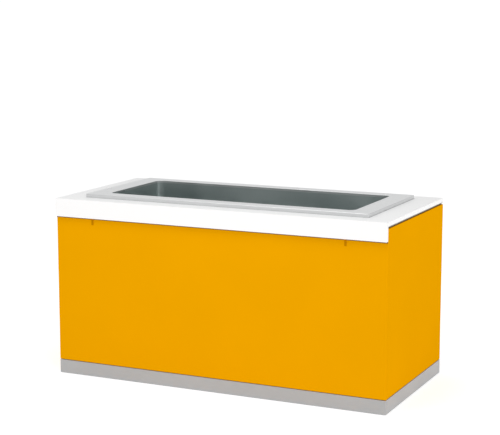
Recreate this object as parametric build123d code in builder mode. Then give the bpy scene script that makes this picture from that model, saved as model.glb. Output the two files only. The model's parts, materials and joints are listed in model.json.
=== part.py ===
"""Open-top chest freezer counter: a refrigerated drop-in well in a clad retail counter.

Millimetres, +Z up. X runs along the counter, the customer side faces -Y, and the
origin is on the floor at the centre of the counter's footprint.
"""
from build123d import *
from math import cos, radians, sin
import os

os.makedirs("parts", exist_ok=True)


def save(piece, label):
    """Label a finished piece and write its STEP file."""
    piece.part.label = label
    export_step(piece.part, f"parts/{label}.step")


# ---------------------------------------------------------------- driving dimensions
WIDTH = 1750.0
DEPTH = 828.0
WORKTOP_Z = 900.0
SLAB_T = 20.0
APRON_H = 90.0
APRON_T = 18.0
PANEL_T = 18.0
PLINTH_H = 70.0
PLINTH_T = 12.0
FLOOR_GAP = 2.0
PLINTH_GAP = 3.0
SHADOW_GAP = 12.0
SEAM = 1.0
TUBE = 30.0
TUBE_WALL = 2.0
SHEET = 1.5
CLEARANCE = 0.3

# Standard food-container well: four 1/1 pans side by side
WELL_LENGTH = 1310.0
WELL_WIDTH = 510.0
WELL_CORNER = 32.0
WELL_Y = 5.0
WELL_DEPTH = 250.0
WELL_COVE = 25.0
RIM_LENGTH = 1504.0
RIM_WIDTH = 655.0
RIM_H = 18.0
RIM_LIP = 12.0
LINER_T = 1.2
COIL_SPACE = 10.0
FOAM_T = 45.0
JACKET_T = 1.0

# ---------------------------------------------------------------- derived positions
FRONT_Y = -DEPTH / 2 + APRON_T
BACK_Y = DEPTH / 2
SIDE_X = WIDTH / 2
SIDE_IN = SIDE_X - PANEL_T
FRONT_IN = FRONT_Y + PANEL_T
SLAB_Z = WORKTOP_Z - SLAB_T
RIM_Z = WORKTOP_Z + RIM_H
PANEL_LOW = PLINTH_H + PLINTH_GAP
PANEL_TOP = SLAB_Z - SHADOW_GAP

DOOR_T = 18.0
DOOR_OUT = BACK_Y - 34.0
DOOR_IN = DOOR_OUT - DOOR_T
FRAME_BACK = DOOR_IN - 5.0
RING_LOW = PLINTH_H + 2.0
RING_TOP = RING_LOW + TUBE
POST_X = SIDE_IN - TUBE / 2
MID_X = SIDE_IN / 3
POST_FRONT_Y = FRONT_IN + TUBE / 2
POST_BACK_Y = FRAME_BACK - TUBE / 2
POST_XS = [-POST_X, -MID_X, MID_X, POST_X]
POST_YS = [POST_FRONT_Y, POST_BACK_Y]

FOAM_IN = LINER_T + COIL_SPACE
JACKET_IN = FOAM_IN + FOAM_T
JACKET_OUT = JACKET_IN + JACKET_T
WELL_FLOOR = WORKTOP_Z - WELL_DEPTH
LINER_TOP = RIM_Z - RIM_LIP
FLANGE_Z = WORKTOP_Z + 1.5
JACKET_LOW = WELL_FLOOR - JACKET_OUT
WELL_RAIL_LOW = JACKET_LOW - TUBE

FASCIA_LOW = 600.0
DOOR_LOW = PANEL_LOW + PLINTH_GAP
DOOR_TOP = FASCIA_LOW - 6.0
DOOR_H = DOOR_TOP - DOOR_LOW
DOOR_GAP = 3.0
DOOR_MARGIN = 1.5
DOOR_EDGE_GAP = 2.5
SHEET_GAP = 0.3
EDGE_CHAMFER = 0.8
SHELF_T = 18.0
SHELF_Z = 330.0


# ---------------------------------------------------------------- counter casework
CUTOUT_MARGIN = 4.0
CUTOUT_CORNER = 10.0
CUTOUT_LENGTH = WELL_LENGTH + 2 * (JACKET_OUT + CUTOUT_MARGIN)
CUTOUT_WIDTH = WELL_WIDTH + 2 * (JACKET_OUT + CUTOUT_MARGIN)
with BuildPart() as worktop:
    with BuildSketch(Plane.XY.offset(SLAB_Z)):
        Rectangle(WIDTH, DEPTH)
        with Locations((0, WELL_Y)):
            RectangleRounded(CUTOUT_LENGTH, CUTOUT_WIDTH, CUTOUT_CORNER, mode=Mode.SUBTRACT)
    extrude(amount=SLAB_T)
    top_rim = worktop.faces().sort_by(Axis.Z)[-1].outer_wire().edges()
    chamfer(top_rim, length=1.0)
save(worktop, "worktop")

with BuildPart() as worktop_apron:
    with BuildSketch(Plane.XY.offset(WORKTOP_Z - APRON_H)):
        with Locations((0, FRONT_Y - APRON_T / 2)):
            Rectangle(WIDTH, APRON_T)
    extrude(amount=APRON_H - SLAB_T)
    chamfer(worktop_apron.faces().sort_by(Axis.Z)[0].edges(), length=1.0)
save(worktop_apron, "worktop_apron")

with BuildPart() as front_panel:
    with BuildSketch(Plane.XY.offset(PANEL_LOW)):
        with Locations((0, FRONT_Y + PANEL_T / 2)):
            Rectangle(WIDTH, PANEL_T)
    extrude(amount=PANEL_TOP - PANEL_LOW)
    chamfer(front_panel.faces().sort_by(Axis.Y)[0].edges(), length=EDGE_CHAMFER)
save(front_panel, "front_panel")

SIDE_LENGTH = BACK_Y - FRONT_IN - SEAM
with BuildPart() as side_panels:
    with BuildSketch(Plane.XY.offset(PANEL_LOW)):
        with Locations((0, BACK_Y - SIDE_LENGTH / 2)):
            with GridLocations(2 * SIDE_X - PANEL_T, 1, 2, 1):
                Rectangle(PANEL_T, SIDE_LENGTH)
    extrude(amount=PANEL_TOP - PANEL_LOW)
    for outer_face in (side_panels.faces().sort_by(Axis.X)[0], side_panels.faces().sort_by(Axis.X)[-1]):
        chamfer(outer_face.edges(), length=EDGE_CHAMFER)
save(side_panels, "side_panels")

# Dark strips set back in the gap between the worktop and the side panels
STRIP_INSET = 6.0
STRIP_W = PANEL_T - STRIP_INSET
STRIP_LENGTH = BACK_Y - FRONT_Y - 2 * STRIP_INSET
with BuildPart() as shadow_gap_strips:
    with BuildSketch(Plane.XY.offset(PANEL_TOP)):
        with Locations((0, (BACK_Y + FRONT_Y) / 2)):
            with GridLocations(2 * (SIDE_X - STRIP_INSET) - STRIP_W, 1, 2, 1):
                Rectangle(STRIP_W, STRIP_LENGTH)
    extrude(amount=SHADOW_GAP)
save(shadow_gap_strips, "shadow_gap_strips")

# Steel angles that hold the apron to the front panel
ANGLE_W = 10.0
ANGLE_T = 2.0
ANGLE_DROP = 34.0
ANGLE_REACH = 14.0
ANGLE_X = 670.0
ANGLE_Z = WORKTOP_Z - APRON_H
angle_outline = [
    (FRONT_Y, ANGLE_Z),
    (FRONT_Y - ANGLE_REACH, ANGLE_Z),
    (FRONT_Y - ANGLE_REACH, ANGLE_Z - ANGLE_T),
    (FRONT_Y - ANGLE_T, ANGLE_Z - ANGLE_T),
    (FRONT_Y - ANGLE_T, ANGLE_Z - ANGLE_DROP),
    (FRONT_Y, ANGLE_Z - ANGLE_DROP),
]
with BuildPart() as apron_brackets:
    for bracket_x in (-ANGLE_X, ANGLE_X):
        with BuildSketch(Plane.YZ.offset(bracket_x - ANGLE_W / 2)):
            with BuildLine():
                Polyline(*angle_outline, close=True)
            make_face()
        extrude(amount=ANGLE_W)
save(apron_brackets, "apron_brackets")

with BuildPart() as plinth_front:
    with BuildSketch(Plane.XY.offset(FLOOR_GAP)):
        with Locations((0, FRONT_Y + PLINTH_T / 2)):
            Rectangle(WIDTH, PLINTH_T)
    extrude(amount=PLINTH_H - FLOOR_GAP)
    chamfer(plinth_front.faces().sort_by(Axis.Y)[0].edges(), length=0.6)
save(plinth_front, "plinth_front")

PLINTH_BACK_Y = DOOR_OUT
PLINTH_SIDE_LENGTH = BACK_Y - FRONT_Y - PLINTH_T - SEAM
with BuildPart() as plinth_sides:
    with BuildSketch(Plane.XY.offset(FLOOR_GAP)):
        with Locations((0, BACK_Y - PLINTH_SIDE_LENGTH / 2)):
            with GridLocations(2 * SIDE_X - PLINTH_T, 1, 2, 1):
                Rectangle(PLINTH_T, PLINTH_SIDE_LENGTH)
    extrude(amount=PLINTH_H - FLOOR_GAP)
save(plinth_sides, "plinth_sides")

# The rear kickboard is vented below the machine compartment and carries the mains gland
GLAND_X = 620.0
GLAND_Z = 38.0
GLAND_BODY_R = 12.5
VENT_BANKS = ((430.0, 14), (760.0, 9))
VENT_PITCH = 16.0
VENT_SLOT = 30.0
VENT_W = 7.0
with BuildPart() as plinth_rear:
    with BuildSketch(Plane.XY.offset(FLOOR_GAP)):
        with Locations((0, PLINTH_BACK_Y - PLINTH_T / 2)):
            Rectangle(2 * (SIDE_X - PLINTH_T - SEAM), PLINTH_T)
    extrude(amount=PLINTH_H - FLOOR_GAP)
    with BuildSketch(Plane.XZ.offset(-PLINTH_BACK_Y)):
        with Locations((GLAND_X, GLAND_Z)):
            Circle(GLAND_BODY_R)
        for bank_x, slots in VENT_BANKS:
            with Locations((bank_x, GLAND_Z)):
                with GridLocations(VENT_PITCH, 1, slots, 1):
                    SlotCenterToCenter(VENT_SLOT, VENT_W, rotation=90)
    extrude(amount=PLINTH_T, mode=Mode.SUBTRACT)
save(plinth_rear, "plinth_rear")


# ---------------------------------------------------------------- inner steel frame
def square_tube(start, direction, length):
    """One square tube whose centre line runs from start along direction."""
    across = (1, 0, 0) if direction[1] else (0, 1, 0)
    with BuildPart() as tube:
        with BuildSketch(Plane(origin=start, x_dir=across, z_dir=direction)):
            Rectangle(TUBE, TUBE)
            Rectangle(TUBE - 2 * TUBE_WALL, TUBE - 2 * TUBE_WALL, mode=Mode.SUBTRACT)
        extrude(amount=length)
    return tube.part


# The tubes of the welded frame stay separate solids, a hair apart at each weld
POST_H = SLAB_Z - TUBE - RING_TOP
posts = [square_tube((x, y, RING_TOP), (0, 0, 1), POST_H) for x in POST_XS for y in POST_YS]
with BuildPart() as frame_posts:
    add(posts)
save(frame_posts, "frame_posts")

DECK_RAIL_Z = RING_LOW + TUBE / 2
TOP_RAIL_Z = SLAB_Z - TUBE / 2
BACK_RAIL_Z = DOOR_TOP + 2 * DOOR_MARGIN + 1.0 + TUBE / 2
SHELF_RAIL_Z = SHELF_Z - TUBE / 2
WELL_RAIL_Z = WELL_RAIL_LOW + TUBE / 2
rails = [
    square_tube((-SIDE_IN, rail_y, rail_z), (1, 0, 0), 2 * SIDE_IN)
    for rail_y in POST_YS
    for rail_z in (DECK_RAIL_Z, TOP_RAIL_Z)
]
for left_post, right_post in zip(POST_XS[:-1], POST_XS[1:]):
    span = right_post - left_post - TUBE
    rails.append(square_tube((left_post + TUBE / 2, POST_BACK_Y, BACK_RAIL_Z), (1, 0, 0), span))

CROSS_START = POST_FRONT_Y + TUBE / 2 + SHEET_GAP
CROSS_LENGTH = POST_BACK_Y - TUBE / 2 - SHEET_GAP - CROSS_START
rails += [
    square_tube((rail_x, CROSS_START, rail_z), (0, 1, 0), CROSS_LENGTH)
    for rail_z, rail_xs in (
        (DECK_RAIL_Z, POST_XS),
        (SHELF_RAIL_Z, POST_XS[:3]),
        (WELL_RAIL_Z, POST_XS[1:3]),
        (TOP_RAIL_Z, POST_XS[::3]),
    )
    for rail_x in rail_xs
]
with BuildPart() as frame_rails:
    add(rails)
save(frame_rails, "frame_rails")

FOOT_R = 18.0
FOOT_PAD_H = 10.0
FOOT_TAPER = 8.0
STUD_R = 6.0
NUT_H = 8.0
NUT_R = 11.0
foot_places = [(x, y) for x in POST_XS for y in POST_YS]
with BuildPart() as levelling_feet:
    with BuildSketch():
        with Locations(*foot_places):
            Circle(FOOT_R)
    extrude(amount=FOOT_PAD_H, taper=FOOT_TAPER)
    with BuildSketch():
        with Locations(*foot_places):
            Circle(STUD_R)
    extrude(amount=RING_LOW)
    with BuildSketch(Plane.XY.offset(RING_LOW - NUT_H)):
        with Locations(*foot_places):
            RegularPolygon(NUT_R, 6)
    extrude(amount=NUT_H)
save(levelling_feet, "levelling_feet")

# ---------------------------------------------------------------- compartment boards
DECK_Z = RING_TOP
DRAIN_X = 215.0
DRAIN_Y = 170.0
DRAIN_PIPE_R = 16.0
with BuildPart() as floor_tray:
    with BuildSketch(Plane.XY.offset(DECK_Z)):
        with Locations((0, (FRONT_IN + FRAME_BACK) / 2)):
            Rectangle(2 * SIDE_IN, FRAME_BACK - FRONT_IN)
        with Locations(*foot_places):
            Rectangle(TUBE, TUBE, mode=Mode.SUBTRACT)
        with Locations((DRAIN_X, DRAIN_Y)):
            Circle(DRAIN_PIPE_R + 2, mode=Mode.SUBTRACT)
    extrude(amount=SHEET)
save(floor_tray, "floor_tray")
TRAY_TOP = DECK_Z + SHEET

# The sheet between the cupboard and the machine compartment has a notch for the latch cam
LATCH_Z = 480.0
PARTITION_X = MID_X + TUBE / 2
NOTCH_DEPTH = 52.0
NOTCH_H = 84.0
NOTCH_RISE = 22.0
NOTCH_Y = FRAME_BACK - NOTCH_DEPTH / 2 + 1.0
with BuildPart() as partition:
    with BuildSketch(Plane.YZ.offset(PARTITION_X)):
        with Locations(((FRONT_IN + FRAME_BACK) / 2, (TRAY_TOP + JACKET_LOW) / 2)):
            Rectangle(FRAME_BACK - FRONT_IN, JACKET_LOW - TRAY_TOP)
        with Locations((NOTCH_Y, LATCH_Z + NOTCH_RISE)):
            Rectangle(NOTCH_DEPTH, NOTCH_H, mode=Mode.SUBTRACT)
    extrude(amount=SHEET)
save(partition, "partition")

SHELF_GAP = 2.0
SHELF_LEFT = -SIDE_IN + SHELF_GAP
SHELF_RIGHT = PARTITION_X - SEAM
SHELF_BACK = POST_BACK_Y - TUBE / 2 - SHELF_GAP
SHELF_FRONT = POST_FRONT_Y + TUBE / 2 + SHELF_GAP
with BuildPart() as cupboard_shelf:
    with BuildSketch(Plane.XY.offset(SHELF_Z)):
        with Locations(((SHELF_LEFT + SHELF_RIGHT) / 2, (SHELF_FRONT + SHELF_BACK) / 2)):
            Rectangle(SHELF_RIGHT - SHELF_LEFT, SHELF_BACK - SHELF_FRONT)
        with Locations((DRAIN_X, DRAIN_Y)):
            Circle(DRAIN_PIPE_R + 6, mode=Mode.SUBTRACT)
    extrude(amount=SHELF_T)
save(cupboard_shelf, "cupboard_shelf")

# ---------------------------------------------------------------- refrigerated well
def copper_line(points, radius, bend):
    """One copper line along a bent centre line."""
    with BuildPart() as line:
        with BuildLine() as route:
            FilletPolyline(*points, radius=bend)
        wire = route.wires()[0]
        with BuildSketch(Plane(origin=wire @ 0, z_dir=wire % 0)):
            Circle(radius)
        sweep(path=wire)
    return line.part


RIM_CORNER = 8.0
RIM_EDGE = 3.0
MOUTH_EDGE = 1.2
with BuildPart() as well_rim:
    with BuildSketch(Plane.XY.offset(FLANGE_Z)):
        with Locations((0, WELL_Y)):
            RectangleRounded(RIM_LENGTH, RIM_WIDTH, RIM_CORNER)
    extrude(amount=RIM_Z - FLANGE_Z)
    fillet(well_rim.faces().sort_by(Axis.Z)[-1].edges(), radius=RIM_EDGE)
    with BuildSketch(Plane.XY.offset(FLANGE_Z + SHEET)):
        with Locations((0, WELL_Y)):
            RectangleRounded(RIM_LENGTH - 2 * SHEET, RIM_WIDTH - 2 * SHEET, RIM_CORNER - SHEET)
            RectangleRounded(
                WELL_LENGTH + 2 * SHEET, WELL_WIDTH + 2 * SHEET, WELL_CORNER + SHEET, mode=Mode.SUBTRACT
            )
    extrude(amount=RIM_Z - FLANGE_Z - 2 * SHEET, mode=Mode.SUBTRACT)
    with BuildSketch(Plane.XY.offset(FLANGE_Z)):
        with Locations((0, WELL_Y)):
            Rectangle(WELL_LENGTH + 2 * JACKET_IN, WELL_WIDTH + 2 * JACKET_IN)
    extrude(amount=SHEET, mode=Mode.SUBTRACT)
    with BuildSketch(Plane.XY.offset(FLANGE_Z)):
        with Locations((0, WELL_Y)):
            RectangleRounded(WELL_LENGTH + 4 * SHEET, WELL_WIDTH + 4 * SHEET, WELL_CORNER + 2 * SHEET)
    extrude(amount=LINER_TOP - FLANGE_Z, mode=Mode.SUBTRACT)
    with BuildSketch(Plane.XY.offset(FLANGE_Z)):
        with Locations((0, WELL_Y)):
            RectangleRounded(WELL_LENGTH, WELL_WIDTH, WELL_CORNER)
    extrude(amount=RIM_Z - FLANGE_Z, mode=Mode.SUBTRACT)
    mouth = well_rim.faces().sort_by(Axis.Z)[-1].inner_wires()[0].edges()
    fillet(mouth, radius=MOUTH_EDGE)
save(well_rim, "well_rim")

GASKET_IN = 1.5
GASKET_W = 8.0
GASKET_LENGTH = RIM_LENGTH - 2 * GASKET_IN
GASKET_WIDTH = RIM_WIDTH - 2 * GASKET_IN
with BuildPart() as rim_gasket:
    with BuildSketch(Plane.XY.offset(WORKTOP_Z)):
        with Locations((0, WELL_Y)):
            RectangleRounded(GASKET_LENGTH, GASKET_WIDTH, RIM_CORNER - GASKET_IN)
            Rectangle(GASKET_LENGTH - 2 * GASKET_W, GASKET_WIDTH - 2 * GASKET_W, mode=Mode.SUBTRACT)
    extrude(amount=FLANGE_Z - WORKTOP_Z)
save(rim_gasket, "rim_gasket")

DRAIN_BORE_R = 13.0
DRAIN_HOLE_FIT = 0.1
with BuildPart() as well_liner:
    with BuildSketch(Plane.XY.offset(WELL_FLOOR - LINER_T)):
        with Locations((0, WELL_Y)):
            RectangleRounded(WELL_LENGTH + 2 * LINER_T, WELL_WIDTH + 2 * LINER_T, WELL_CORNER + LINER_T)
    extrude(amount=LINER_TOP - WELL_FLOOR + LINER_T)
    fillet(well_liner.faces().sort_by(Axis.Z)[0].edges(), radius=WELL_COVE + LINER_T)
    offset(amount=-LINER_T, openings=well_liner.faces().sort_by(Axis.Z)[-1])
    with BuildSketch(Plane.XY.offset(WELL_FLOOR - 2 * LINER_T)):
        with Locations((DRAIN_X, DRAIN_Y)):
            Circle(DRAIN_PIPE_R + DRAIN_HOLE_FIT)
    extrude(amount=4 * LINER_T, mode=Mode.SUBTRACT)
save(well_liner, "well_liner")

# Evaporator: one copper tube wound up round the liner, in at the bottom and out at the top
COIL_R = 4.0
COIL_TURNS = 7
COIL_PITCH = 24.0
COIL_LOW = WELL_FLOOR + 34.0
COIL_STUB = 30.0
COIL_HALF_X = WELL_LENGTH / 2 + LINER_T + COIL_R + CLEARANCE
COIL_HALF_Y = WELL_WIDTH / 2 + LINER_T + COIL_R + CLEARANCE
COIL_CORNER = WELL_CORNER + LINER_T + COIL_R + CLEARANCE
COIL_STUB_BEND = 12.0
SUCTION_X = 520.0
LIQUID_X = 440.0
PIPE_Y = WELL_Y - COIL_HALF_Y
COIL_START_Z = WELL_FLOOR - 8.0
COIL_END_Z = COIL_LOW + COIL_TURNS * COIL_PITCH
coil_points = [(LIQUID_X, PIPE_Y, COIL_START_Z), (LIQUID_X, PIPE_Y, COIL_LOW)]
for quarter in range(4 * COIL_TURNS):
    side_x = COIL_HALF_X if quarter % 4 in (0, 1) else -COIL_HALF_X
    side_y = COIL_HALF_Y if quarter % 4 in (1, 2) else -COIL_HALF_Y
    coil_points.append((side_x, WELL_Y + side_y, COIL_LOW + (quarter + 1) / 4 * COIL_PITCH))
coil_points += [(SUCTION_X, PIPE_Y, COIL_END_Z), (SUCTION_X, PIPE_Y - COIL_STUB, COIL_END_Z)]
coil_bends = [COIL_STUB_BEND] + [COIL_CORNER] * 4 * COIL_TURNS + [COIL_STUB_BEND]
coil_tube = copper_line(coil_points, COIL_R, coil_bends)
with BuildPart() as evaporator_coil:
    add(coil_tube)
save(evaporator_coil, "evaporator_coil")

PIPE_CUT_R = 8.0
with BuildPart() as well_insulation:
    with BuildSketch(Plane.XY.offset(WELL_FLOOR - JACKET_IN)):
        with Locations((0, WELL_Y)):
            Rectangle(WELL_LENGTH + 2 * JACKET_IN, WELL_WIDTH + 2 * JACKET_IN)
    extrude(amount=FLANGE_Z - WELL_FLOOR + JACKET_IN)
    with BuildSketch(Plane.XY.offset(WELL_FLOOR - LINER_T)):
        with Locations((0, WELL_Y)):
            RectangleRounded(WELL_LENGTH + 2 * FOAM_IN, WELL_WIDTH + 2 * FOAM_IN, WELL_CORNER + FOAM_IN)
    extrude(amount=WELL_DEPTH + 2 * RIM_H, mode=Mode.SUBTRACT)
    with BuildSketch(Plane.XY.offset(JACKET_LOW)):
        with Locations((DRAIN_X, DRAIN_Y)):
            Circle(DRAIN_PIPE_R + CLEARANCE)
        with Locations((LIQUID_X, PIPE_Y)):
            Circle(PIPE_CUT_R)
    extrude(amount=COIL_LOW - JACKET_LOW, mode=Mode.SUBTRACT)
    with BuildSketch(Plane.XZ.offset(-PIPE_Y)):
        with Locations((SUCTION_X, COIL_END_Z)):
            Circle(PIPE_CUT_R)
    extrude(amount=JACKET_OUT, mode=Mode.SUBTRACT)
save(well_insulation, "well_insulation")

# The jacket is a floor sheet and four wall sheets, riveted round the foam
JACKET_LENGTH = WELL_LENGTH + 2 * JACKET_OUT
JACKET_WIDTH = WELL_WIDTH + 2 * JACKET_OUT
JACKET_WALL_LOW = JACKET_LOW + JACKET_T + SHEET_GAP
with BuildPart() as well_jacket:
    with BuildSketch(Plane.XY.offset(JACKET_LOW)):
        with Locations((0, WELL_Y)):
            Rectangle(JACKET_LENGTH, JACKET_WIDTH)
    extrude(amount=JACKET_T)
    with BuildSketch(Plane.XY.offset(JACKET_WALL_LOW)):
        with Locations((0, WELL_Y)):
            with GridLocations(1, JACKET_WIDTH - JACKET_T, 1, 2):
                Rectangle(JACKET_LENGTH, JACKET_T)
            with GridLocations(JACKET_LENGTH - JACKET_T, 1, 2, 1):
                Rectangle(JACKET_T, JACKET_WIDTH - 2 * (JACKET_T + SHEET_GAP))
    extrude(amount=FLANGE_Z - JACKET_WALL_LOW)
    with BuildSketch(Plane.XY.offset(JACKET_LOW)):
        with Locations((DRAIN_X, DRAIN_Y)):
            Circle(DRAIN_PIPE_R + CLEARANCE)
        with Locations((LIQUID_X, PIPE_Y)):
            Circle(PIPE_CUT_R)
    extrude(amount=2 * JACKET_T, mode=Mode.SUBTRACT)
    with BuildSketch(Plane.XZ.offset(-PIPE_Y)):
        with Locations((SUCTION_X, COIL_END_Z)):
            Circle(PIPE_CUT_R)
    extrude(amount=JACKET_OUT, mode=Mode.SUBTRACT)
save(well_jacket, "well_jacket")

# Two perforated false-floor plates lift out of the well on their folded runners
PLATE_GAP = 5.0
PLATE_Z = WELL_FLOOR + 22.0
PLATE_LENGTH = WELL_LENGTH / 2 - 1.5 * PLATE_GAP
PLATE_WIDTH = WELL_WIDTH - 2 * PLATE_GAP
RUNNER_END = 90.0
RUNNER_EDGE = 40.0
HOLE_PITCH = 40.0
HOLE_COLUMNS = 14
HOLE_ROWS = 10
HOLE_R = 6.0
FINGER_R = 16.0
for side, label in ((-1, "floor_plate_left"), (1, "floor_plate_right")):
    plate_x = side * (PLATE_GAP + PLATE_LENGTH) / 2
    with BuildPart() as floor_plate:
        with BuildSketch(Plane.XY.offset(PLATE_Z)) as plate_outline:
            with Locations((plate_x, WELL_Y)):
                Rectangle(PLATE_LENGTH, PLATE_WIDTH)
            outer_corners = plate_outline.vertices().group_by(Axis.X)[0 if side < 0 else -1]
            fillet(outer_corners, radius=WELL_CORNER - PLATE_GAP)
            with Locations((plate_x, WELL_Y)):
                with GridLocations(HOLE_PITCH, HOLE_PITCH, HOLE_COLUMNS, HOLE_ROWS):
                    Circle(HOLE_R, mode=Mode.SUBTRACT)
            with Locations((side * PLATE_GAP / 2, WELL_Y)):
                Circle(FINGER_R, mode=Mode.SUBTRACT)
        extrude(amount=SHEET)
        for runner_side in (-1, 1):
            runner_y = WELL_Y + runner_side * (PLATE_WIDTH / 2 - RUNNER_EDGE)
            with BuildSketch(Plane.XY.offset(WELL_FLOOR + CLEARANCE)):
                with Locations((plate_x, runner_y)):
                    Rectangle(PLATE_LENGTH - 2 * RUNNER_END, SHEET)
            extrude(amount=PLATE_Z - WELL_FLOOR - CLEARANCE)
    save(floor_plate, label)

# ---------------------------------------------------------------- drain
DRAIN_FLANGE_R = 27.0
STRAINER_HOLE_R = 1.7
STRAINER_CENTRE_R = 2.2
STRAINER_RINGS = ((5.5, 6), (10.0, 12))
VALVE_TOP = JACKET_LOW - 22.0
VALVE_H = 56.0
VALVE_Z = VALVE_TOP - VALVE_H / 2
with BuildPart() as drain_fitting:
    with BuildSketch(Plane.XY.offset(WELL_FLOOR)):
        with Locations((DRAIN_X, DRAIN_Y)):
            Circle(DRAIN_FLANGE_R)
    extrude(amount=SHEET)
    with BuildSketch(Plane.XY.offset(VALVE_TOP)):
        with Locations((DRAIN_X, DRAIN_Y)):
            Circle(DRAIN_PIPE_R)
    extrude(amount=WELL_FLOOR - VALVE_TOP)
    with BuildSketch(Plane.XY.offset(VALVE_TOP)):
        with Locations((DRAIN_X, DRAIN_Y)):
            Circle(DRAIN_BORE_R)
    extrude(amount=WELL_FLOOR - VALVE_TOP - SHEET, mode=Mode.SUBTRACT)
    with BuildSketch(Plane.XY.offset(VALVE_TOP)):
        with Locations((DRAIN_X, DRAIN_Y)):
            Circle(STRAINER_CENTRE_R)
            for ring_r, holes in STRAINER_RINGS:
                with PolarLocations(ring_r, holes):
                    Circle(STRAINER_HOLE_R)
    extrude(amount=WELL_FLOOR - VALVE_TOP + 2 * SHEET, mode=Mode.SUBTRACT)
save(drain_fitting, "drain_fitting")

STEM_R = 5.0
STEM_FIT = 0.08
VALVE_R = 24.0
VALVE_BORE_R = 12.0
BONNET_R = 12.0
BONNET_Y = DRAIN_Y + 34.0
with BuildPart() as drain_valve:
    with BuildSketch(Plane.XY.offset(VALVE_TOP - VALVE_H)):
        with Locations((DRAIN_X, DRAIN_Y)):
            RegularPolygon(VALVE_R, 8)
    extrude(amount=VALVE_H)
    with BuildSketch(Plane.XZ.offset(-DRAIN_Y)):
        with Locations((DRAIN_X, VALVE_Z)):
            Circle(BONNET_R)
    extrude(amount=-(BONNET_Y - DRAIN_Y))
    with BuildSketch(Plane.XY.offset(VALVE_TOP - VALVE_H)):
        with Locations((DRAIN_X, DRAIN_Y)):
            Circle(VALVE_BORE_R)
    extrude(amount=VALVE_H, mode=Mode.SUBTRACT)
    with BuildSketch(Plane.XZ.offset(-DRAIN_Y)):
        with Locations((DRAIN_X, VALVE_Z)):
            Circle(STEM_R + STEM_FIT)
    extrude(amount=-(BONNET_Y - DRAIN_Y), mode=Mode.SUBTRACT)
save(drain_valve, "drain_valve")

# Lever, stem and gate turn together; the lever lies level when the valve is shut
LEVER_LENGTH = 95.0
LEVER_W = 16.0
LEVER_T = 3.0
LEVER_HUB_R = 11.0
STEM_BACK_Y = DRAIN_Y - 8.0
LEVER_Y = BONNET_Y + 1.0
STEM_END_Y = LEVER_Y + LEVER_T + 2.0
with BuildPart() as drain_valve_lever:
    with BuildSketch(Plane.XZ.offset(-STEM_BACK_Y)):
        with Locations((DRAIN_X, VALVE_Z)):
            Circle(STEM_R)
    extrude(amount=-(STEM_END_Y - STEM_BACK_Y))
    with BuildSketch(Plane.XZ.offset(-LEVER_Y)):
        with Locations((DRAIN_X, VALVE_Z)):
            Circle(LEVER_HUB_R)
        with Locations((DRAIN_X - LEVER_LENGTH / 2, VALVE_Z)):
            SlotCenterToCenter(LEVER_LENGTH, LEVER_W)
    extrude(amount=-LEVER_T)
save(drain_valve_lever, "drain_valve_lever")

DRAIN_OUTLET_Z = PLINTH_H + 5.0
with BuildPart() as drain_pipe:
    with BuildSketch(Plane.XY.offset(DRAIN_OUTLET_Z)):
        with Locations((DRAIN_X, DRAIN_Y)):
            Circle(DRAIN_PIPE_R)
            Circle(DRAIN_BORE_R, mode=Mode.SUBTRACT)
    extrude(amount=VALVE_TOP - VALVE_H - DRAIN_OUTLET_Z)
save(drain_pipe, "drain_pipe")

# ---------------------------------------------------------------- condensing unit
UNIT_X = 565.0
UNIT_Z = TRAY_TOP + 15.0
UNIT_PLATE_W = 460.0
UNIT_PLATE_D = 520.0
UNIT_BACK_Y = 320.0
UNIT_SHEET = 2.0
with BuildPart() as unit_base_plate:
    with BuildSketch(Plane.XZ.offset(-UNIT_BACK_Y)):
        with Locations((UNIT_X, (TRAY_TOP + UNIT_Z) / 2)):
            Rectangle(UNIT_PLATE_W, UNIT_Z - TRAY_TOP)
        with Locations((UNIT_X, (TRAY_TOP + UNIT_Z) / 2 - UNIT_SHEET)):
            Rectangle(UNIT_PLATE_W - 2 * UNIT_SHEET, UNIT_Z - TRAY_TOP, mode=Mode.SUBTRACT)
    extrude(amount=UNIT_PLATE_D)
save(unit_base_plate, "unit_base_plate")

COMP_Y = -70.0
COMP_A = 96.0
COMP_B = 72.0
COMP_H = 200.0
COMP_DOME = 40.0
SEAM_AT = 0.55
SEAM_H = 6.0
SEAM_PROUD = 4.0
GROMMET_H = 14.0
GROMMET_R = 13.0
GROMMET_PEG_R = 6.0
GROMMET_PEG_H = 8.0
COMP_LOW = UNIT_Z + GROMMET_H
COMP_PLATE_L = 230.0
COMP_PLATE_W = 150.0
COMP_PLATE_T = 3.0
COMP_PLATE_CORNER = 18.0
MOUNT_X = 190.0
MOUNT_Y = 110.0
with BuildPart() as compressor_shell:
    with BuildSketch(Plane.XY.offset(COMP_LOW)):
        with Locations((UNIT_X, COMP_Y)):
            RectangleRounded(COMP_PLATE_L, COMP_PLATE_W, COMP_PLATE_CORNER)
            with GridLocations(MOUNT_X, MOUNT_Y, 2, 2):
                Circle(GROMMET_PEG_R + CLEARANCE, mode=Mode.SUBTRACT)
    extrude(amount=COMP_PLATE_T)
    with BuildSketch(Plane.XY.offset(COMP_LOW + COMP_PLATE_T)):
        with Locations((UNIT_X, COMP_Y)):
            Ellipse(COMP_A, COMP_B)
    extrude(amount=COMP_H)
    fillet(compressor_shell.faces().sort_by(Axis.Z)[-1].edges(), radius=COMP_DOME)
    with BuildSketch(Plane.XY.offset(COMP_LOW + SEAM_AT * COMP_H)):
        with Locations((UNIT_X, COMP_Y)):
            Ellipse(COMP_A + SEAM_PROUD, COMP_B + SEAM_PROUD)
    extrude(amount=SEAM_H)
save(compressor_shell, "compressor_shell")

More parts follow.
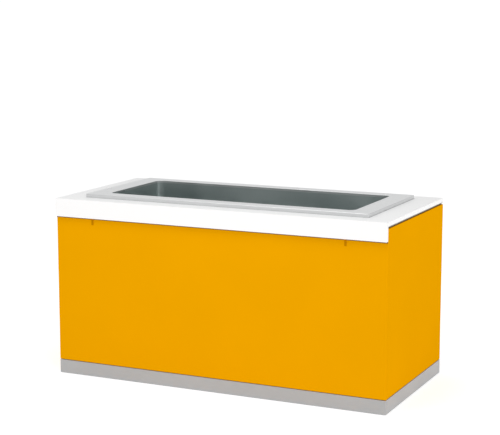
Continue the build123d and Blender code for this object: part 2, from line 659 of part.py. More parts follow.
with BuildPart() as compressor_grommets:
    with BuildSketch(Plane.XY.offset(UNIT_Z)):
        with Locations((UNIT_X, COMP_Y)):
            with GridLocations(MOUNT_X, MOUNT_Y, 2, 2):
                Circle(GROMMET_R)
    extrude(amount=GROMMET_H)
    with BuildSketch(Plane.XY.offset(UNIT_Z)):
        with Locations((UNIT_X, COMP_Y)):
            with GridLocations(MOUNT_X, MOUNT_Y, 2, 2):
                Circle(GROMMET_PEG_R)
    extrude(amount=GROMMET_H + GROMMET_PEG_H)
save(compressor_grommets, "compressor_grommets")

TERMINAL_BACK_Y = COMP_Y - COMP_B - SEAM_PROUD - 1.0
TERMINAL_Z = COMP_LOW + 75.0
TERMINAL_W = 70.0
TERMINAL_H = 80.0
TERMINAL_D = 34.0
TERMINAL_CORNER = 8.0
TERMINAL_EDGE = 5.0
with BuildPart() as compressor_terminal_cover:
    with BuildSketch(Plane.XZ.offset(-TERMINAL_BACK_Y)):
        with Locations((UNIT_X, TERMINAL_Z)):
            RectangleRounded(TERMINAL_W, TERMINAL_H, TERMINAL_CORNER)
    extrude(amount=TERMINAL_D)
    fillet(compressor_terminal_cover.faces().sort_by(Axis.Y)[0].edges(), radius=TERMINAL_EDGE)
save(compressor_terminal_cover, "compressor_terminal_cover")

CONDENSER_W = 280.0
CONDENSER_Y = 298.0
CONDENSER_T = 36.0
CONDENSER_ROWS = 8
ROW_PITCH = 34.0
CONDENSER_H = CONDENSER_ROWS * ROW_PITCH
CONDENSER_Z = UNIT_Z + CONDENSER_H / 2 + 2
TUBE_R = 5.0
ROW_LOW = CONDENSER_Z - (CONDENSER_ROWS - 1) / 2 * ROW_PITCH
row_heights = [ROW_LOW + row * ROW_PITCH for row in range(CONDENSER_ROWS)]
FIN_COUNT = 36
FIN_T = 0.6
with BuildPart() as condenser_fins:
    with BuildSketch(Plane.YZ) as fin_outline:
        with Locations((CONDENSER_Y, CONDENSER_Z)):
            Rectangle(CONDENSER_T, CONDENSER_H)
        with Locations(*[(CONDENSER_Y, height) for height in row_heights]):
            Circle(TUBE_R, mode=Mode.SUBTRACT)
    fin = extrude(fin_outline.sketch, amount=FIN_T, mode=Mode.PRIVATE)
    for index in range(FIN_COUNT):
        fin_x = UNIT_X + (index / (FIN_COUNT - 1) - 0.5) * CONDENSER_W
        add(Pos(fin_x, 0, 0) * fin)
save(condenser_fins, "condenser_fins")

BEND_OUT = 24.0
HALF_RUN = CONDENSER_W / 2 + BEND_OUT
TUBE_FIT = 0.05
with BuildPart() as condenser_tubes:
    corners = []
    for row, height in enumerate(row_heights):
        heading = 1 if row % 2 == 0 else -1
        corners += [(UNIT_X - heading * HALF_RUN, CONDENSER_Y, height)]
        corners += [(UNIT_X + heading * HALF_RUN, CONDENSER_Y, height)]
    with BuildLine() as serpentine:
        FilletPolyline(*corners, radius=ROW_PITCH / 2 - 1)
    with BuildSketch(Plane(origin=corners[0], z_dir=(1, 0, 0))):
        Circle(TUBE_R - TUBE_FIT)
    sweep(path=serpentine.wires()[0])
save(condenser_tubes, "condenser_tubes")

FAN_R = 112.0
FAN_HOLE_R = 122.0
SHROUD_FRONT = CONDENSER_Y - CONDENSER_T / 2 - 34.0
SHROUD_BACK = CONDENSER_Y - CONDENSER_T / 2 - 0.5
FAN_Z = CONDENSER_Z
SHROUD_W = CONDENSER_W + 20.0
SHROUD_CORNER = 6.0
SHROUD_LIP = 10.0
with BuildPart() as condenser_shroud:
    with BuildSketch(Plane.XZ.offset(-SHROUD_BACK)):
        with Locations((UNIT_X, CONDENSER_Z)):
            RectangleRounded(SHROUD_W, CONDENSER_H, SHROUD_CORNER)
    extrude(amount=SHROUD_BACK - SHROUD_FRONT)
    with BuildSketch(Plane.XZ.offset(-SHROUD_BACK)):
        with Locations((UNIT_X, CONDENSER_Z)):
            RectangleRounded(SHROUD_W - 2 * SHEET, CONDENSER_H - 2 * SHEET, SHROUD_CORNER - SHEET)
    extrude(amount=SHROUD_BACK - SHROUD_FRONT - SHEET, mode=Mode.SUBTRACT)
    with BuildSketch(Plane.XZ.offset(-SHROUD_BACK)):
        with Locations((UNIT_X, FAN_Z)):
            Circle(FAN_HOLE_R + SHEET)
            Circle(FAN_HOLE_R, mode=Mode.SUBTRACT)
    extrude(amount=SHROUD_BACK - SHROUD_FRONT + SHROUD_LIP)
    with BuildSketch(Plane.XZ.offset(-SHROUD_BACK)):
        with Locations((UNIT_X, FAN_Z)):
            Circle(FAN_HOLE_R)
    extrude(amount=SHROUD_BACK - SHROUD_FRONT + SHROUD_LIP, mode=Mode.SUBTRACT)
save(condenser_shroud, "condenser_shroud")

MOTOR_R = 40.0
MOTOR_BACK = SHROUD_FRONT - 22.0
MOTOR_LENGTH = 52.0
MOTOR_SHAFT_R = 5.0
SHAFT_FIT = 0.06
MOTOR_CAP = 6.0
with BuildPart() as fan_motor:
    with BuildSketch(Plane.XZ.offset(-MOTOR_BACK)):
        with Locations((UNIT_X, FAN_Z)):
            Circle(MOTOR_R)
            Circle(MOTOR_SHAFT_R + SHAFT_FIT, mode=Mode.SUBTRACT)
    extrude(amount=MOTOR_LENGTH)
    with BuildSketch(Plane.XZ.offset(-(MOTOR_BACK - MOTOR_LENGTH))):
        with Locations((UNIT_X, FAN_Z)):
            Circle(MOTOR_R)
    extrude(amount=MOTOR_CAP)
    fillet(fan_motor.faces().sort_by(Axis.Y)[0].edges(), radius=MOTOR_CAP - 2)
save(fan_motor, "fan_motor")

# Four arms reach from the motor body back to the shroud plate, outside the blade tips
ARM_W = 10.0
ARM_T = 2.0
ARM_REACH = FAN_HOLE_R + 16.0
ARM_FRONT_Y = MOTOR_BACK - 22.0
ARM_LEG_R = FAN_HOLE_R + 11.0
ARM_LEG_T = 3.0
MOTOR_BAND = 4.0
with BuildPart() as fan_motor_bracket:
    with BuildSketch(Plane.XZ.offset(-ARM_FRONT_Y)):
        with Locations((UNIT_X, FAN_Z)):
            Circle(MOTOR_R + MOTOR_BAND)
            for angle in (45, 135):
                Rectangle(2 * ARM_REACH, ARM_W, rotation=angle)
            Circle(MOTOR_R, mode=Mode.SUBTRACT)
    extrude(amount=-ARM_T)
    with BuildSketch(Plane.XZ.offset(-ARM_FRONT_Y)):
        with Locations((UNIT_X, FAN_Z)):
            with PolarLocations(ARM_LEG_R, 4, start_angle=45):
                Rectangle(ARM_LEG_T, ARM_W)
    extrude(amount=-(SHROUD_FRONT - ARM_FRONT_Y))
save(fan_motor_bracket, "fan_motor_bracket")

HUB_R = 26.0
BLADE_COUNT = 5
BLADE_PITCH = 28.0
BLADE_T = 1.6
BLADE_ROOT = 30.0
BLADE_TIP = 58.0
BLADE_SINK = 4.0
HUB_FRONT = MOTOR_BACK + 4.0
HUB_H = 30.0
SHAFT_IN = 30.0
with BuildPart() as fan_blade:
    with BuildSketch(Plane.XZ.offset(-HUB_FRONT)):
        with Locations((UNIT_X, FAN_Z)):
            Circle(HUB_R)
    extrude(amount=-HUB_H)
    with BuildSketch(Plane.XZ.offset(-(MOTOR_BACK - SHAFT_IN))):
        with Locations((UNIT_X, FAN_Z)):
            Circle(MOTOR_SHAFT_R)
    extrude(amount=-(SHAFT_IN + HUB_H / 2))
    blade_y = HUB_FRONT + HUB_H / 2
    root_r = HUB_R - BLADE_SINK
    for index in range(BLADE_COUNT):
        turn_angle = 360 / BLADE_COUNT * index
        along = (cos(radians(turn_angle)), 0, sin(radians(turn_angle)))
        tangent = (-sin(radians(turn_angle)), 0, cos(radians(turn_angle)))
        chord = tuple(cos(radians(BLADE_PITCH)) * t for t in tangent)
        chord = (chord[0], sin(radians(BLADE_PITCH)), chord[2])
        root = (UNIT_X + root_r * along[0], blade_y, FAN_Z + root_r * along[2])
        with BuildSketch(Plane(origin=root, z_dir=along, x_dir=chord)):
            SlotCenterToCenter(BLADE_ROOT, BLADE_T)
        tip = tuple(root[i] + (FAN_R - HUB_R) * along[i] for i in range(3))
        with BuildSketch(Plane(origin=tip, z_dir=along, x_dir=chord)):
            SlotCenterToCenter(BLADE_TIP, BLADE_T)
        loft()
save(fan_blade, "fan_blade")

DRIER_R = 15.0
DRIER_X = 400.0
DRIER_Y = 110.0
DRIER_LOW = 330.0
DRIER_H = 110.0
DRIER_NOSE = 10.0
with BuildPart() as filter_drier:
    with BuildSketch(Plane.XY.offset(DRIER_LOW)):
        with Locations((DRIER_X, DRIER_Y)):
            Circle(DRIER_R)
    extrude(amount=DRIER_H)
    fillet(filter_drier.faces().filter_by(Axis.Z).edges(), radius=DRIER_NOSE)
save(filter_drier, "filter_drier")

# Refrigerant lines: suction from the coil, discharge to the condenser, liquid back to the coil
LINE_R = 4.0
LINE_BEND = 12.0
SUCTION_R = 5.0
SUCTION_BEND = 16.0
SUCTION_RUN_X = UNIT_X + 130.0
SUCTION_RUN_Z = 470.0
SUCTION_PORT_Z = 210.0
PORT_RIGHT = UNIT_X + COMP_A
PORT_LEFT = UNIT_X - COMP_A
DISCHARGE_PORT_Z = 200.0
DISCHARGE_RISE_X = UNIT_X - 140.0
DISCHARGE_DROP_X = UNIT_X - 190.0
DISCHARGE_HIGH = row_heights[-1] + 60.0
LIQUID_RUN_X = DRIER_X - 30.0
LIQUID_STEP = row_heights[0] + 60.0
LIQUID_RUN_Z = 540.0
SUCTION_Y = PIPE_Y - JACKET_OUT - 10.0
suction_points = [
    (SUCTION_X, PIPE_Y - COIL_STUB, COIL_END_Z),
    (SUCTION_X, SUCTION_Y, COIL_END_Z),
    (SUCTION_X, SUCTION_Y, SUCTION_RUN_Z),
    (SUCTION_RUN_X, SUCTION_Y, SUCTION_RUN_Z),
    (SUCTION_RUN_X, SUCTION_Y, SUCTION_PORT_Z),
    (SUCTION_RUN_X, COMP_Y, SUCTION_PORT_Z),
    (PORT_RIGHT, COMP_Y, SUCTION_PORT_Z),
]
suction_tube = copper_line(suction_points, SUCTION_R, SUCTION_BEND)
with BuildPart() as suction_line:
    add(suction_tube)
save(suction_line, "suction_line")

discharge_points = [
    (PORT_LEFT, COMP_Y, DISCHARGE_PORT_Z),
    (DISCHARGE_RISE_X, COMP_Y, DISCHARGE_PORT_Z),
    (DISCHARGE_RISE_X, COMP_Y, DISCHARGE_HIGH),
    (DISCHARGE_DROP_X, COMP_Y, DISCHARGE_HIGH),
    (DISCHARGE_DROP_X, CONDENSER_Y, DISCHARGE_HIGH),
    (DISCHARGE_DROP_X, CONDENSER_Y, row_heights[-1]),
    (UNIT_X - HALF_RUN, CONDENSER_Y, row_heights[-1]),
]
discharge_tube = copper_line(discharge_points, LINE_R, LINE_BEND)
with BuildPart() as discharge_line:
    add(discharge_tube)
save(discharge_line, "discharge_line")

to_drier = [
    (UNIT_X - HALF_RUN, CONDENSER_Y, row_heights[0]),
    (LIQUID_RUN_X, CONDENSER_Y, row_heights[0]),
    (LIQUID_RUN_X, DRIER_Y, row_heights[0]),
    (DRIER_X, DRIER_Y, LIQUID_STEP),
    (DRIER_X, DRIER_Y, DRIER_LOW),
]
from_drier = [
    (DRIER_X, DRIER_Y, DRIER_LOW + DRIER_H),
    (DRIER_X, DRIER_Y, LIQUID_RUN_Z),
    (DRIER_X, PIPE_Y, LIQUID_RUN_Z),
    (LIQUID_X, PIPE_Y, LIQUID_RUN_Z),
    (LIQUID_X, PIPE_Y, COIL_START_Z),
]
liquid_tubes = [copper_line(points, LINE_R, LINE_BEND) for points in (to_drier, from_drier)]
with BuildPart() as liquid_line:
    add(liquid_tubes)
save(liquid_line, "liquid_line")

# ---------------------------------------------------------------- electrical parts
BOX_D = 90.0
BOX_L = 200.0
BOX_H = 180.0
BOX_Y = 80.0
BOX_Z = 440.0
BOX_WALL = 3.0
BOX_CORNER = 8.0
with BuildPart() as electrical_box:
    with BuildSketch(Plane.YZ.offset(SIDE_IN - BOX_D)):
        with Locations((BOX_Y, BOX_Z)):
            RectangleRounded(BOX_L, BOX_H, BOX_CORNER)
    extrude(amount=BOX_D)
    with BuildSketch(Plane.YZ.offset(SIDE_IN)):
        with Locations((BOX_Y, BOX_Z)):
            RectangleRounded(BOX_L - 2 * BOX_WALL, BOX_H - 2 * BOX_WALL, BOX_CORNER - BOX_WALL)
    extrude(amount=-(BOX_D - BOX_WALL), mode=Mode.SUBTRACT)
save(electrical_box, "electrical_box")

GLAND_BORE_R = 5.0
GLAND_OUT = 22.0
GLAND_INNER = 14.0
GLAND_NUT_R = 18.0
GLAND_NUT_H = 6.0
GLAND_DOME_R = 14.0
GLAND_START_Y = PLINTH_BACK_Y - PLINTH_T - GLAND_INNER
with BuildPart() as cable_gland:
    with BuildSketch(Plane.XZ.offset(-GLAND_START_Y)):
        with Locations((GLAND_X, GLAND_Z)):
            Circle(GLAND_BODY_R)
    extrude(amount=-(PLINTH_T + GLAND_INNER + GLAND_NUT_H / 2))
    with BuildSketch(Plane.XZ.offset(-PLINTH_BACK_Y)):
        with Locations((GLAND_X, GLAND_Z)):
            RegularPolygon(GLAND_NUT_R, 6)
    extrude(amount=-GLAND_NUT_H)
    with BuildSketch(Plane.XZ.offset(-(PLINTH_BACK_Y + GLAND_NUT_H))):
        with Locations((GLAND_X, GLAND_Z)):
            Circle(GLAND_DOME_R)
    extrude(amount=-(GLAND_OUT - GLAND_NUT_H))
    fillet(cable_gland.faces().sort_by(Axis.Y)[-1].edges(), radius=GLAND_DOME_R - 10.0)
    with BuildSketch(Plane.XZ.offset(-GLAND_START_Y)):
        with Locations((GLAND_X, GLAND_Z)):
            Circle(GLAND_BORE_R)
    extrude(amount=-(PLINTH_T + GLAND_INNER + GLAND_OUT), mode=Mode.SUBTRACT)
    with BuildSketch(Plane.XZ.offset(-(PLINTH_BACK_Y - PLINTH_T - GLAND_NUT_H))):
        with Locations((GLAND_X, GLAND_Z)):
            RegularPolygon(GLAND_NUT_R, 6)
            Circle(GLAND_BODY_R, mode=Mode.SUBTRACT)
    extrude(amount=-GLAND_NUT_H)
save(cable_gland, "cable_gland")

# Controller and power switch, in the stainless fascia above the machine door
CTRL_X = 770.0
CTRL_Z = 760.0
CTRL_W = 78.0
CTRL_H = 36.0
CTRL_BEZEL = 5.0
BODY_W = 70.0
BODY_H = 28.0
SWITCH_X = 690.0
SWITCH_W = 30.0
SWITCH_H = 24.0
SWITCH_STEP = 3.0
BUTTON = 8.0
BUTTON_W = 12.0
BUTTON_PITCH = 11.0
BUTTON_TRAVEL = 0.8
FASCIA_D = 15.0
FASCIA_W = 2 * (SIDE_IN - SEAM)
FASCIA_H = PANEL_TOP - FASCIA_LOW
with BuildPart() as rear_fascia:
    with BuildSketch(Plane.XZ.offset(-DOOR_OUT)):
        with Locations((0, (FASCIA_LOW + PANEL_TOP) / 2)):
            Rectangle(FASCIA_W, FASCIA_H)
    extrude(amount=FASCIA_D)
    with BuildSketch(Plane.XZ.offset(-(DOOR_OUT - FASCIA_D))):
        with Locations((0, (FASCIA_LOW + PANEL_TOP) / 2)):
            Rectangle(FASCIA_W - 2 * LINER_T, FASCIA_H - 2 * LINER_T)
    extrude(amount=-(FASCIA_D - LINER_T), mode=Mode.SUBTRACT)
    with BuildSketch(Plane.XZ.offset(-DOOR_OUT)):
        with Locations((CTRL_X, CTRL_Z)):
            Rectangle(BODY_W + 2 * CLEARANCE, BODY_H + 2 * CLEARANCE)
        with Locations((SWITCH_X, CTRL_Z)):
            Rectangle(SWITCH_W - SWITCH_STEP + 1, SWITCH_H - SWITCH_STEP + 1)
    extrude(amount=2 * LINER_T, mode=Mode.SUBTRACT)
save(rear_fascia, "rear_fascia")

WINDOW_W = 34.0
WINDOW_H = 17.0
WINDOW_X = CTRL_X + 14.0
WINDOW_Z = CTRL_Z + 2.0
WINDOW_IN = 1.5
WINDOW_T = 1.2
BUTTON_X = CTRL_X - 18.0
BUTTON_WELL = 4.0
CTRL_D = 50.0
button_places = [(BUTTON_X, CTRL_Z + step * BUTTON_PITCH) for step in (-1, 0, 1)]
with BuildPart() as controller_housing:
    with BuildSketch(Plane.XZ.offset(-DOOR_OUT)):
        with Locations((CTRL_X, CTRL_Z)):
            RectangleRounded(CTRL_W, CTRL_H, 3)
    extrude(amount=-CTRL_BEZEL)
    fillet(controller_housing.faces().sort_by(Axis.Y)[-1].edges(), radius=1.5)
    with BuildSketch(Plane.XZ.offset(-DOOR_OUT)):
        with Locations((CTRL_X, CTRL_Z)):
            Rectangle(BODY_W, BODY_H)
    extrude(amount=CTRL_D)
    with BuildSketch(Plane.XZ.offset(-(DOOR_OUT + CTRL_BEZEL))):
        with Locations((WINDOW_X, WINDOW_Z)):
            Rectangle(WINDOW_W, WINDOW_H)
    extrude(amount=WINDOW_IN, mode=Mode.SUBTRACT)
    with BuildSketch(Plane.XZ.offset(-(DOOR_OUT + CTRL_BEZEL))):
        with Locations(*button_places):
            Rectangle(BUTTON_W + 2 * CLEARANCE, BUTTON + 2 * CLEARANCE)
    extrude(amount=BUTTON_WELL, mode=Mode.SUBTRACT)
save(controller_housing, "controller_housing")

with BuildPart() as controller_window:
    with BuildSketch(Plane.XZ.offset(-(DOOR_OUT + CTRL_BEZEL - WINDOW_IN))):
        with Locations((WINDOW_X, WINDOW_Z)):
            Rectangle(WINDOW_W, WINDOW_H)
    extrude(amount=-WINDOW_T)
save(controller_window, "controller_window")

BUTTON_BACK_Y = DOOR_OUT + CTRL_BEZEL - BUTTON_WELL + BUTTON_TRAVEL + CLEARANCE
for place, label in zip(button_places, ("button_down", "button_set", "button_up")):
    with BuildPart() as button:
        with BuildSketch(Plane.XZ.offset(-BUTTON_BACK_Y)):
            with Locations(place):
                RectangleRounded(BUTTON_W, BUTTON, 1.5)
        extrude(amount=-(BUTTON_WELL - CLEARANCE))
        fillet(button.faces().sort_by(Axis.Y)[-1].edges(), radius=0.5)
    save(button, label)

PADDLE_R = 9.4
PADDLE_Y = DOOR_OUT - 4.0
PADDLE_TILT = 12.0
PADDLE_SLOT_W = SWITCH_W - 8.0
SWITCH_BEZEL = 2.5
SWITCH_D = 24.0
with BuildPart() as switch_housing:
    with BuildSketch(Plane.XZ.offset(-DOOR_OUT)):
        with Locations((SWITCH_X, CTRL_Z)):
            RectangleRounded(SWITCH_W + 4, SWITCH_H + 4, 2)
    extrude(amount=-SWITCH_BEZEL)
    with BuildSketch(Plane.XZ.offset(-DOOR_OUT)):
        with Locations((SWITCH_X, CTRL_Z)):
            Rectangle(SWITCH_W - SWITCH_STEP, SWITCH_H - SWITCH_STEP)
    extrude(amount=SWITCH_D)
    with BuildSketch(Plane.XZ.offset(-(DOOR_OUT + SWITCH_BEZEL))):
        with Locations((SWITCH_X, CTRL_Z)):
            Rectangle(PADDLE_SLOT_W, 2 * (PADDLE_R + CLEARANCE))
    extrude(amount=DOOR_OUT + SWITCH_BEZEL - PADDLE_Y + PADDLE_R + CLEARANCE, mode=Mode.SUBTRACT)
save(switch_housing, "switch_housing")

# The paddle is a round-backed rocker with a shallow V face, tilted to its off side
PADDLE_LEFT = SWITCH_X - PADDLE_SLOT_W / 2 + CLEARANCE
PADDLE_FACE = 5.0
PADDLE_V = 2.0
paddle_out = (0, cos(radians(PADDLE_TILT)), sin(radians(PADDLE_TILT)))
paddle_plane = Plane(origin=(PADDLE_LEFT, PADDLE_Y, CTRL_Z), x_dir=paddle_out, z_dir=(1, 0, 0))
cut_away = [
    (PADDLE_FACE, 0),
    (PADDLE_FACE + PADDLE_V, 10),
    (20, 10),
    (20, -10),
    (PADDLE_FACE + PADDLE_V, -10),
]
with BuildPart() as switch_rocker:
    with BuildSketch(paddle_plane):
        Circle(PADDLE_R)
        with BuildLine():
            Polyline(*cut_away, close=True)
        make_face(mode=Mode.SUBTRACT)
    extrude(amount=PADDLE_SLOT_W - 2 * CLEARANCE)
save(switch_rocker, "switch_rocker")

# ---------------------------------------------------------------- rear doors
PIVOT_IN = 9.0
PIVOT_Y = DOOR_OUT - 5.0
PIVOT_R = 4.0
PIVOT_FIT = 0.08
PIN_IN = 10.0
PIN_PLATE_T = 2.5
left_low = -SIDE_IN + DOOR_EDGE_GAP
left_high = -MID_X - DOOR_GAP / 2
right_low = -MID_X + DOOR_GAP / 2
right_high = MID_X - DOOR_GAP / 2
service_low = MID_X + DOOR_GAP / 2
service_high = SIDE_IN - DOOR_EDGE_GAP
pivot_xs = [left_low + PIVOT_IN, right_high - PIVOT_IN, service_high - PIVOT_IN]


def pivot_bores(pivot_x):
    """The pair of bores, top and bottom, that a door's pivot pins run in."""
    with BuildPart() as bores:
        for bore_z in (DOOR_LOW, DOOR_TOP - PIN_IN - 2):
            with BuildSketch(Plane.XY.offset(bore_z)):
                with Locations((pivot_x, PIVOT_Y)):
                    Circle(PIVOT_R + PIVOT_FIT)
            extrude(amount=PIN_IN + 2)
    return bores.part


for low, high, pivot_x, label in (
    (left_low, left_high, pivot_xs[0], "cupboard_door_left"),
    (right_low, right_high, pivot_xs[1], "cupboard_door_right"),
):
    bores = pivot_bores(pivot_x)
    with BuildPart() as cupboard_door:
        with BuildSketch(Plane.XY.offset(DOOR_LOW)):
            with Locations(((low + high) / 2, (DOOR_IN + DOOR_OUT) / 2)):
                Rectangle(high - low, DOOR_T)
        extrude(amount=DOOR_H)
        chamfer(cupboard_door.faces().sort_by(Axis.Y)[-1].edges(), length=EDGE_CHAMFER)
        add(bores, mode=Mode.SUBTRACT)
    save(cupboard_door, label)

# The machine door is a folded sheet pan with banks of hooded louvres
LOUVRE_W = 130.0
LOUVRE_H = 7.0
LOUVRE_PITCH = 22.0
LOUVRE_ROWS = 6
LOUVRE_GAP = 18.0
LOUVRE_SHIFT = 16.0
LOUVRE_BANKS = (185.0, 450.0)
HOOD_OUT = 6.0
HOOD_T = 1.2
DOOR_CORNER = 1.5
LATCH_X = service_low + 45.0
LATCH_R = 9.0
LATCH_FIT = 0.08
door_mid_x = (service_low + service_high) / 2
louvre_x = door_mid_x + LOUVRE_SHIFT
bores = pivot_bores(pivot_xs[2])
with BuildPart() as service_door:
    with BuildSketch(Plane.XY.offset(DOOR_LOW)):
        with Locations((door_mid_x, (DOOR_IN + DOOR_OUT) / 2)):
            Rectangle(service_high - service_low, DOOR_T)
    extrude(amount=DOOR_H)
    fillet(service_door.faces().sort_by(Axis.Y)[-1].edges(), radius=DOOR_CORNER)
    with BuildSketch(Plane.XZ.offset(-DOOR_IN)):
        with Locations((door_mid_x, (DOOR_LOW + DOOR_TOP) / 2)):
            Rectangle(service_high - service_low - 2 * SHEET, DOOR_H - 2 * SHEET)
    extrude(amount=-(DOOR_T - SHEET), mode=Mode.SUBTRACT)
    for bank_z in LOUVRE_BANKS:
        with BuildSketch(Plane.XZ.offset(-DOOR_OUT)):
            with Locations((louvre_x, bank_z)):
                with GridLocations(LOUVRE_W + LOUVRE_GAP, LOUVRE_PITCH, 3, LOUVRE_ROWS):
                    Rectangle(LOUVRE_W - 4, LOUVRE_H)
        extrude(amount=2 * SHEET, mode=Mode.SUBTRACT)
        for column in (-1, 0, 1):
            for row in range(LOUVRE_ROWS):
                hood_z = bank_z + (row - (LOUVRE_ROWS - 1) / 2) * LOUVRE_PITCH + LOUVRE_H / 2
                hood_x = louvre_x + column * (LOUVRE_W + LOUVRE_GAP) - LOUVRE_W / 2
                with BuildSketch(Plane.YZ.offset(hood_x)):
                    with BuildLine():
                        Polyline(
                            (DOOR_OUT - SHEET, hood_z + 3),
                            (DOOR_OUT + HOOD_OUT, hood_z - LOUVRE_H),
                            (DOOR_OUT + HOOD_OUT - HOOD_T, hood_z - LOUVRE_H),
                            (DOOR_OUT - SHEET, hood_z + 0.5),
                            close=True,
                        )
                    make_face()
                extrude(amount=LOUVRE_W)
    add(bores, mode=Mode.SUBTRACT)
    with BuildSketch(Plane.XZ.offset(-DOOR_OUT)):
        with Locations((LATCH_X, LATCH_Z)):
            Circle(LATCH_R + LATCH_FIT)
    extrude(amount=2 * SHEET, mode=Mode.SUBTRACT)
save(service_door, "service_door")

# Quarter-turn latch: slotted head, shaft, and a cam that swings behind the frame post
LATCH_NECK = 4.0
LATCH_HEAD_R = 13.0
LATCH_HEAD_T = 3.0
LATCH_SLOT_W = 3.0
LATCH_SLOT_L = 14.0
LATCH_SLOT_DEEP = 1.8
LATCH_SHAFT_R = 6.0
CAM_Y = POST_BACK_Y - TUBE / 2 - 7.0
CAM_LENGTH = 40.0
CAM_W = 14.0
CAM_T = 3.0
LATCH_NECK_Y = DOOR_OUT - SHEET - LATCH_NECK
LATCH_HEAD_Y = DOOR_OUT + CLEARANCE
with BuildPart() as service_latch:
    with BuildSketch(Plane.XZ.offset(-LATCH_NECK_Y)):
        with Locations((LATCH_X, LATCH_Z)):
            Circle(LATCH_R)
    extrude(amount=-(LATCH_HEAD_Y - LATCH_NECK_Y))
    with BuildSketch(Plane.XZ.offset(-LATCH_HEAD_Y)):
        with Locations((LATCH_X, LATCH_Z)):
            Circle(LATCH_HEAD_R)
    extrude(amount=-LATCH_HEAD_T)
    with BuildSketch(Plane.XZ.offset(-(LATCH_HEAD_Y + LATCH_HEAD_T))):
        with Locations((LATCH_X, LATCH_Z)):
            Rectangle(LATCH_SLOT_W, LATCH_SLOT_L)
    extrude(amount=LATCH_SLOT_DEEP, mode=Mode.SUBTRACT)
    with BuildSketch(Plane.XZ.offset(-CAM_Y)):
        with Locations((LATCH_X, LATCH_Z)):
            Circle(LATCH_SHAFT_R)
    extrude(amount=-(LATCH_NECK_Y + SHEET - CAM_Y))
    with BuildSketch(Plane.XZ.offset(-CAM_Y)):
        with Locations((LATCH_X, LATCH_Z + CAM_LENGTH / 2)):
            SlotCenterToCenter(CAM_LENGTH, CAM_W, rotation=90)
    extrude(amount=-CAM_T)
save(service_latch, "service_latch")

HANDLE_LENGTH = 170.0
HANDLE_R = 5.0
HANDLE_Y = BACK_Y - 2.0 - HANDLE_R
HANDLE_Z = 400.0
HANDLE_IN = 42.0
HANDLE_LEG_R = 4.0
HANDLE_LEG_IN = 15.0
for handle_x, handle_z, label in (
    (left_high - HANDLE_IN, HANDLE_Z, "door_handle_left"),
    (right_low + HANDLE_IN, HANDLE_Z, "door_handle_right"),
    (service_low + HANDLE_IN, HANDLE_Z - 40, "door_handle_service"),
):
    with BuildPart() as door_handle:
        with BuildSketch(Plane.XY.offset(handle_z - HANDLE_LENGTH / 2)):
            with Locations((handle_x, HANDLE_Y)):
                Circle(HANDLE_R)
        extrude(amount=HANDLE_LENGTH)
        fillet(door_handle.faces().filter_by(Axis.Z).edges(), radius=2)
        with BuildSketch(Plane.XZ.offset(-DOOR_OUT)):
            with Locations((handle_x, handle_z)):
                with GridLocations(1, HANDLE_LENGTH - 2 * HANDLE_LEG_IN, 1, 2):
                    Circle(HANDLE_LEG_R)
        extrude(amount=-(HANDLE_Y - DOOR_OUT))
    save(door_handle, label)

# Pivot brackets: an angle with a pin below and above each door, screwed to the frame
PIVOT_PLATE_W = 18.0
PIVOT_PLATE_OUT = PIVOT_Y + 7.0
PIVOT_LEG_T = 2.0
PIVOT_LEG_H = 24.0
with BuildPart() as pivot_brackets:
    for pivot_x in pivot_xs:
        for plate_z, pin_z, pin_up in (
            (DOOR_LOW - DOOR_MARGIN - PIN_PLATE_T, DOOR_LOW - 2, 1),
            (DOOR_TOP + DOOR_MARGIN, DOOR_TOP + 2, -1),
        ):
            with BuildSketch(Plane.XY.offset(plate_z)):
                with Locations((pivot_x, (FRAME_BACK + PIVOT_PLATE_OUT) / 2)):
                    Rectangle(PIVOT_PLATE_W, PIVOT_PLATE_OUT - FRAME_BACK)
            extrude(amount=PIN_PLATE_T)
            with BuildSketch(Plane.XY.offset(plate_z)):
                with Locations((pivot_x, FRAME_BACK + PIVOT_LEG_T / 2)):
                    Rectangle(PIVOT_PLATE_W, PIVOT_LEG_T)
            extrude(amount=PIVOT_LEG_H)
            with BuildSketch(Plane.XY.offset(pin_z)):
                with Locations((pivot_x, PIVOT_Y)):
                    Circle(PIVOT_R)
            extrude(amount=pin_up * (PIN_IN + 2))
save(pivot_brackets, "pivot_brackets")

SCREW_COLUMNS = 7
SCREW_INSET = 20.0
SCREW_EDGE = 14.0
SCREW_R = 4.5
SCREW_H = 2.2
SCREW_PITCH = 2 * (SIDE_IN - SCREW_INSET) / (SCREW_COLUMNS - 1)
with BuildPart() as fascia_screws:
    with BuildSketch(Plane.XZ.offset(-DOOR_OUT)):
        with Locations((0, FASCIA_LOW + FASCIA_H / 2)):
            with GridLocations(SCREW_PITCH, FASCIA_H - 2 * SCREW_EDGE, SCREW_COLUMNS, 2):
                Circle(SCREW_R)
    extrude(amount=-SCREW_H)
    fillet(fascia_screws.faces().sort_by(Axis.Y)[-1].edges(), radius=1)
save(fascia_screws, "fascia_screws")
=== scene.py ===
"""Looks of the open-top chest freezer counter: materials, small fittings, studio and camera.

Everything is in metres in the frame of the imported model. The CAD nodes keep their
shapes and places; each gets a procedural material, and a few small pieces join them.
"""
import json
import math

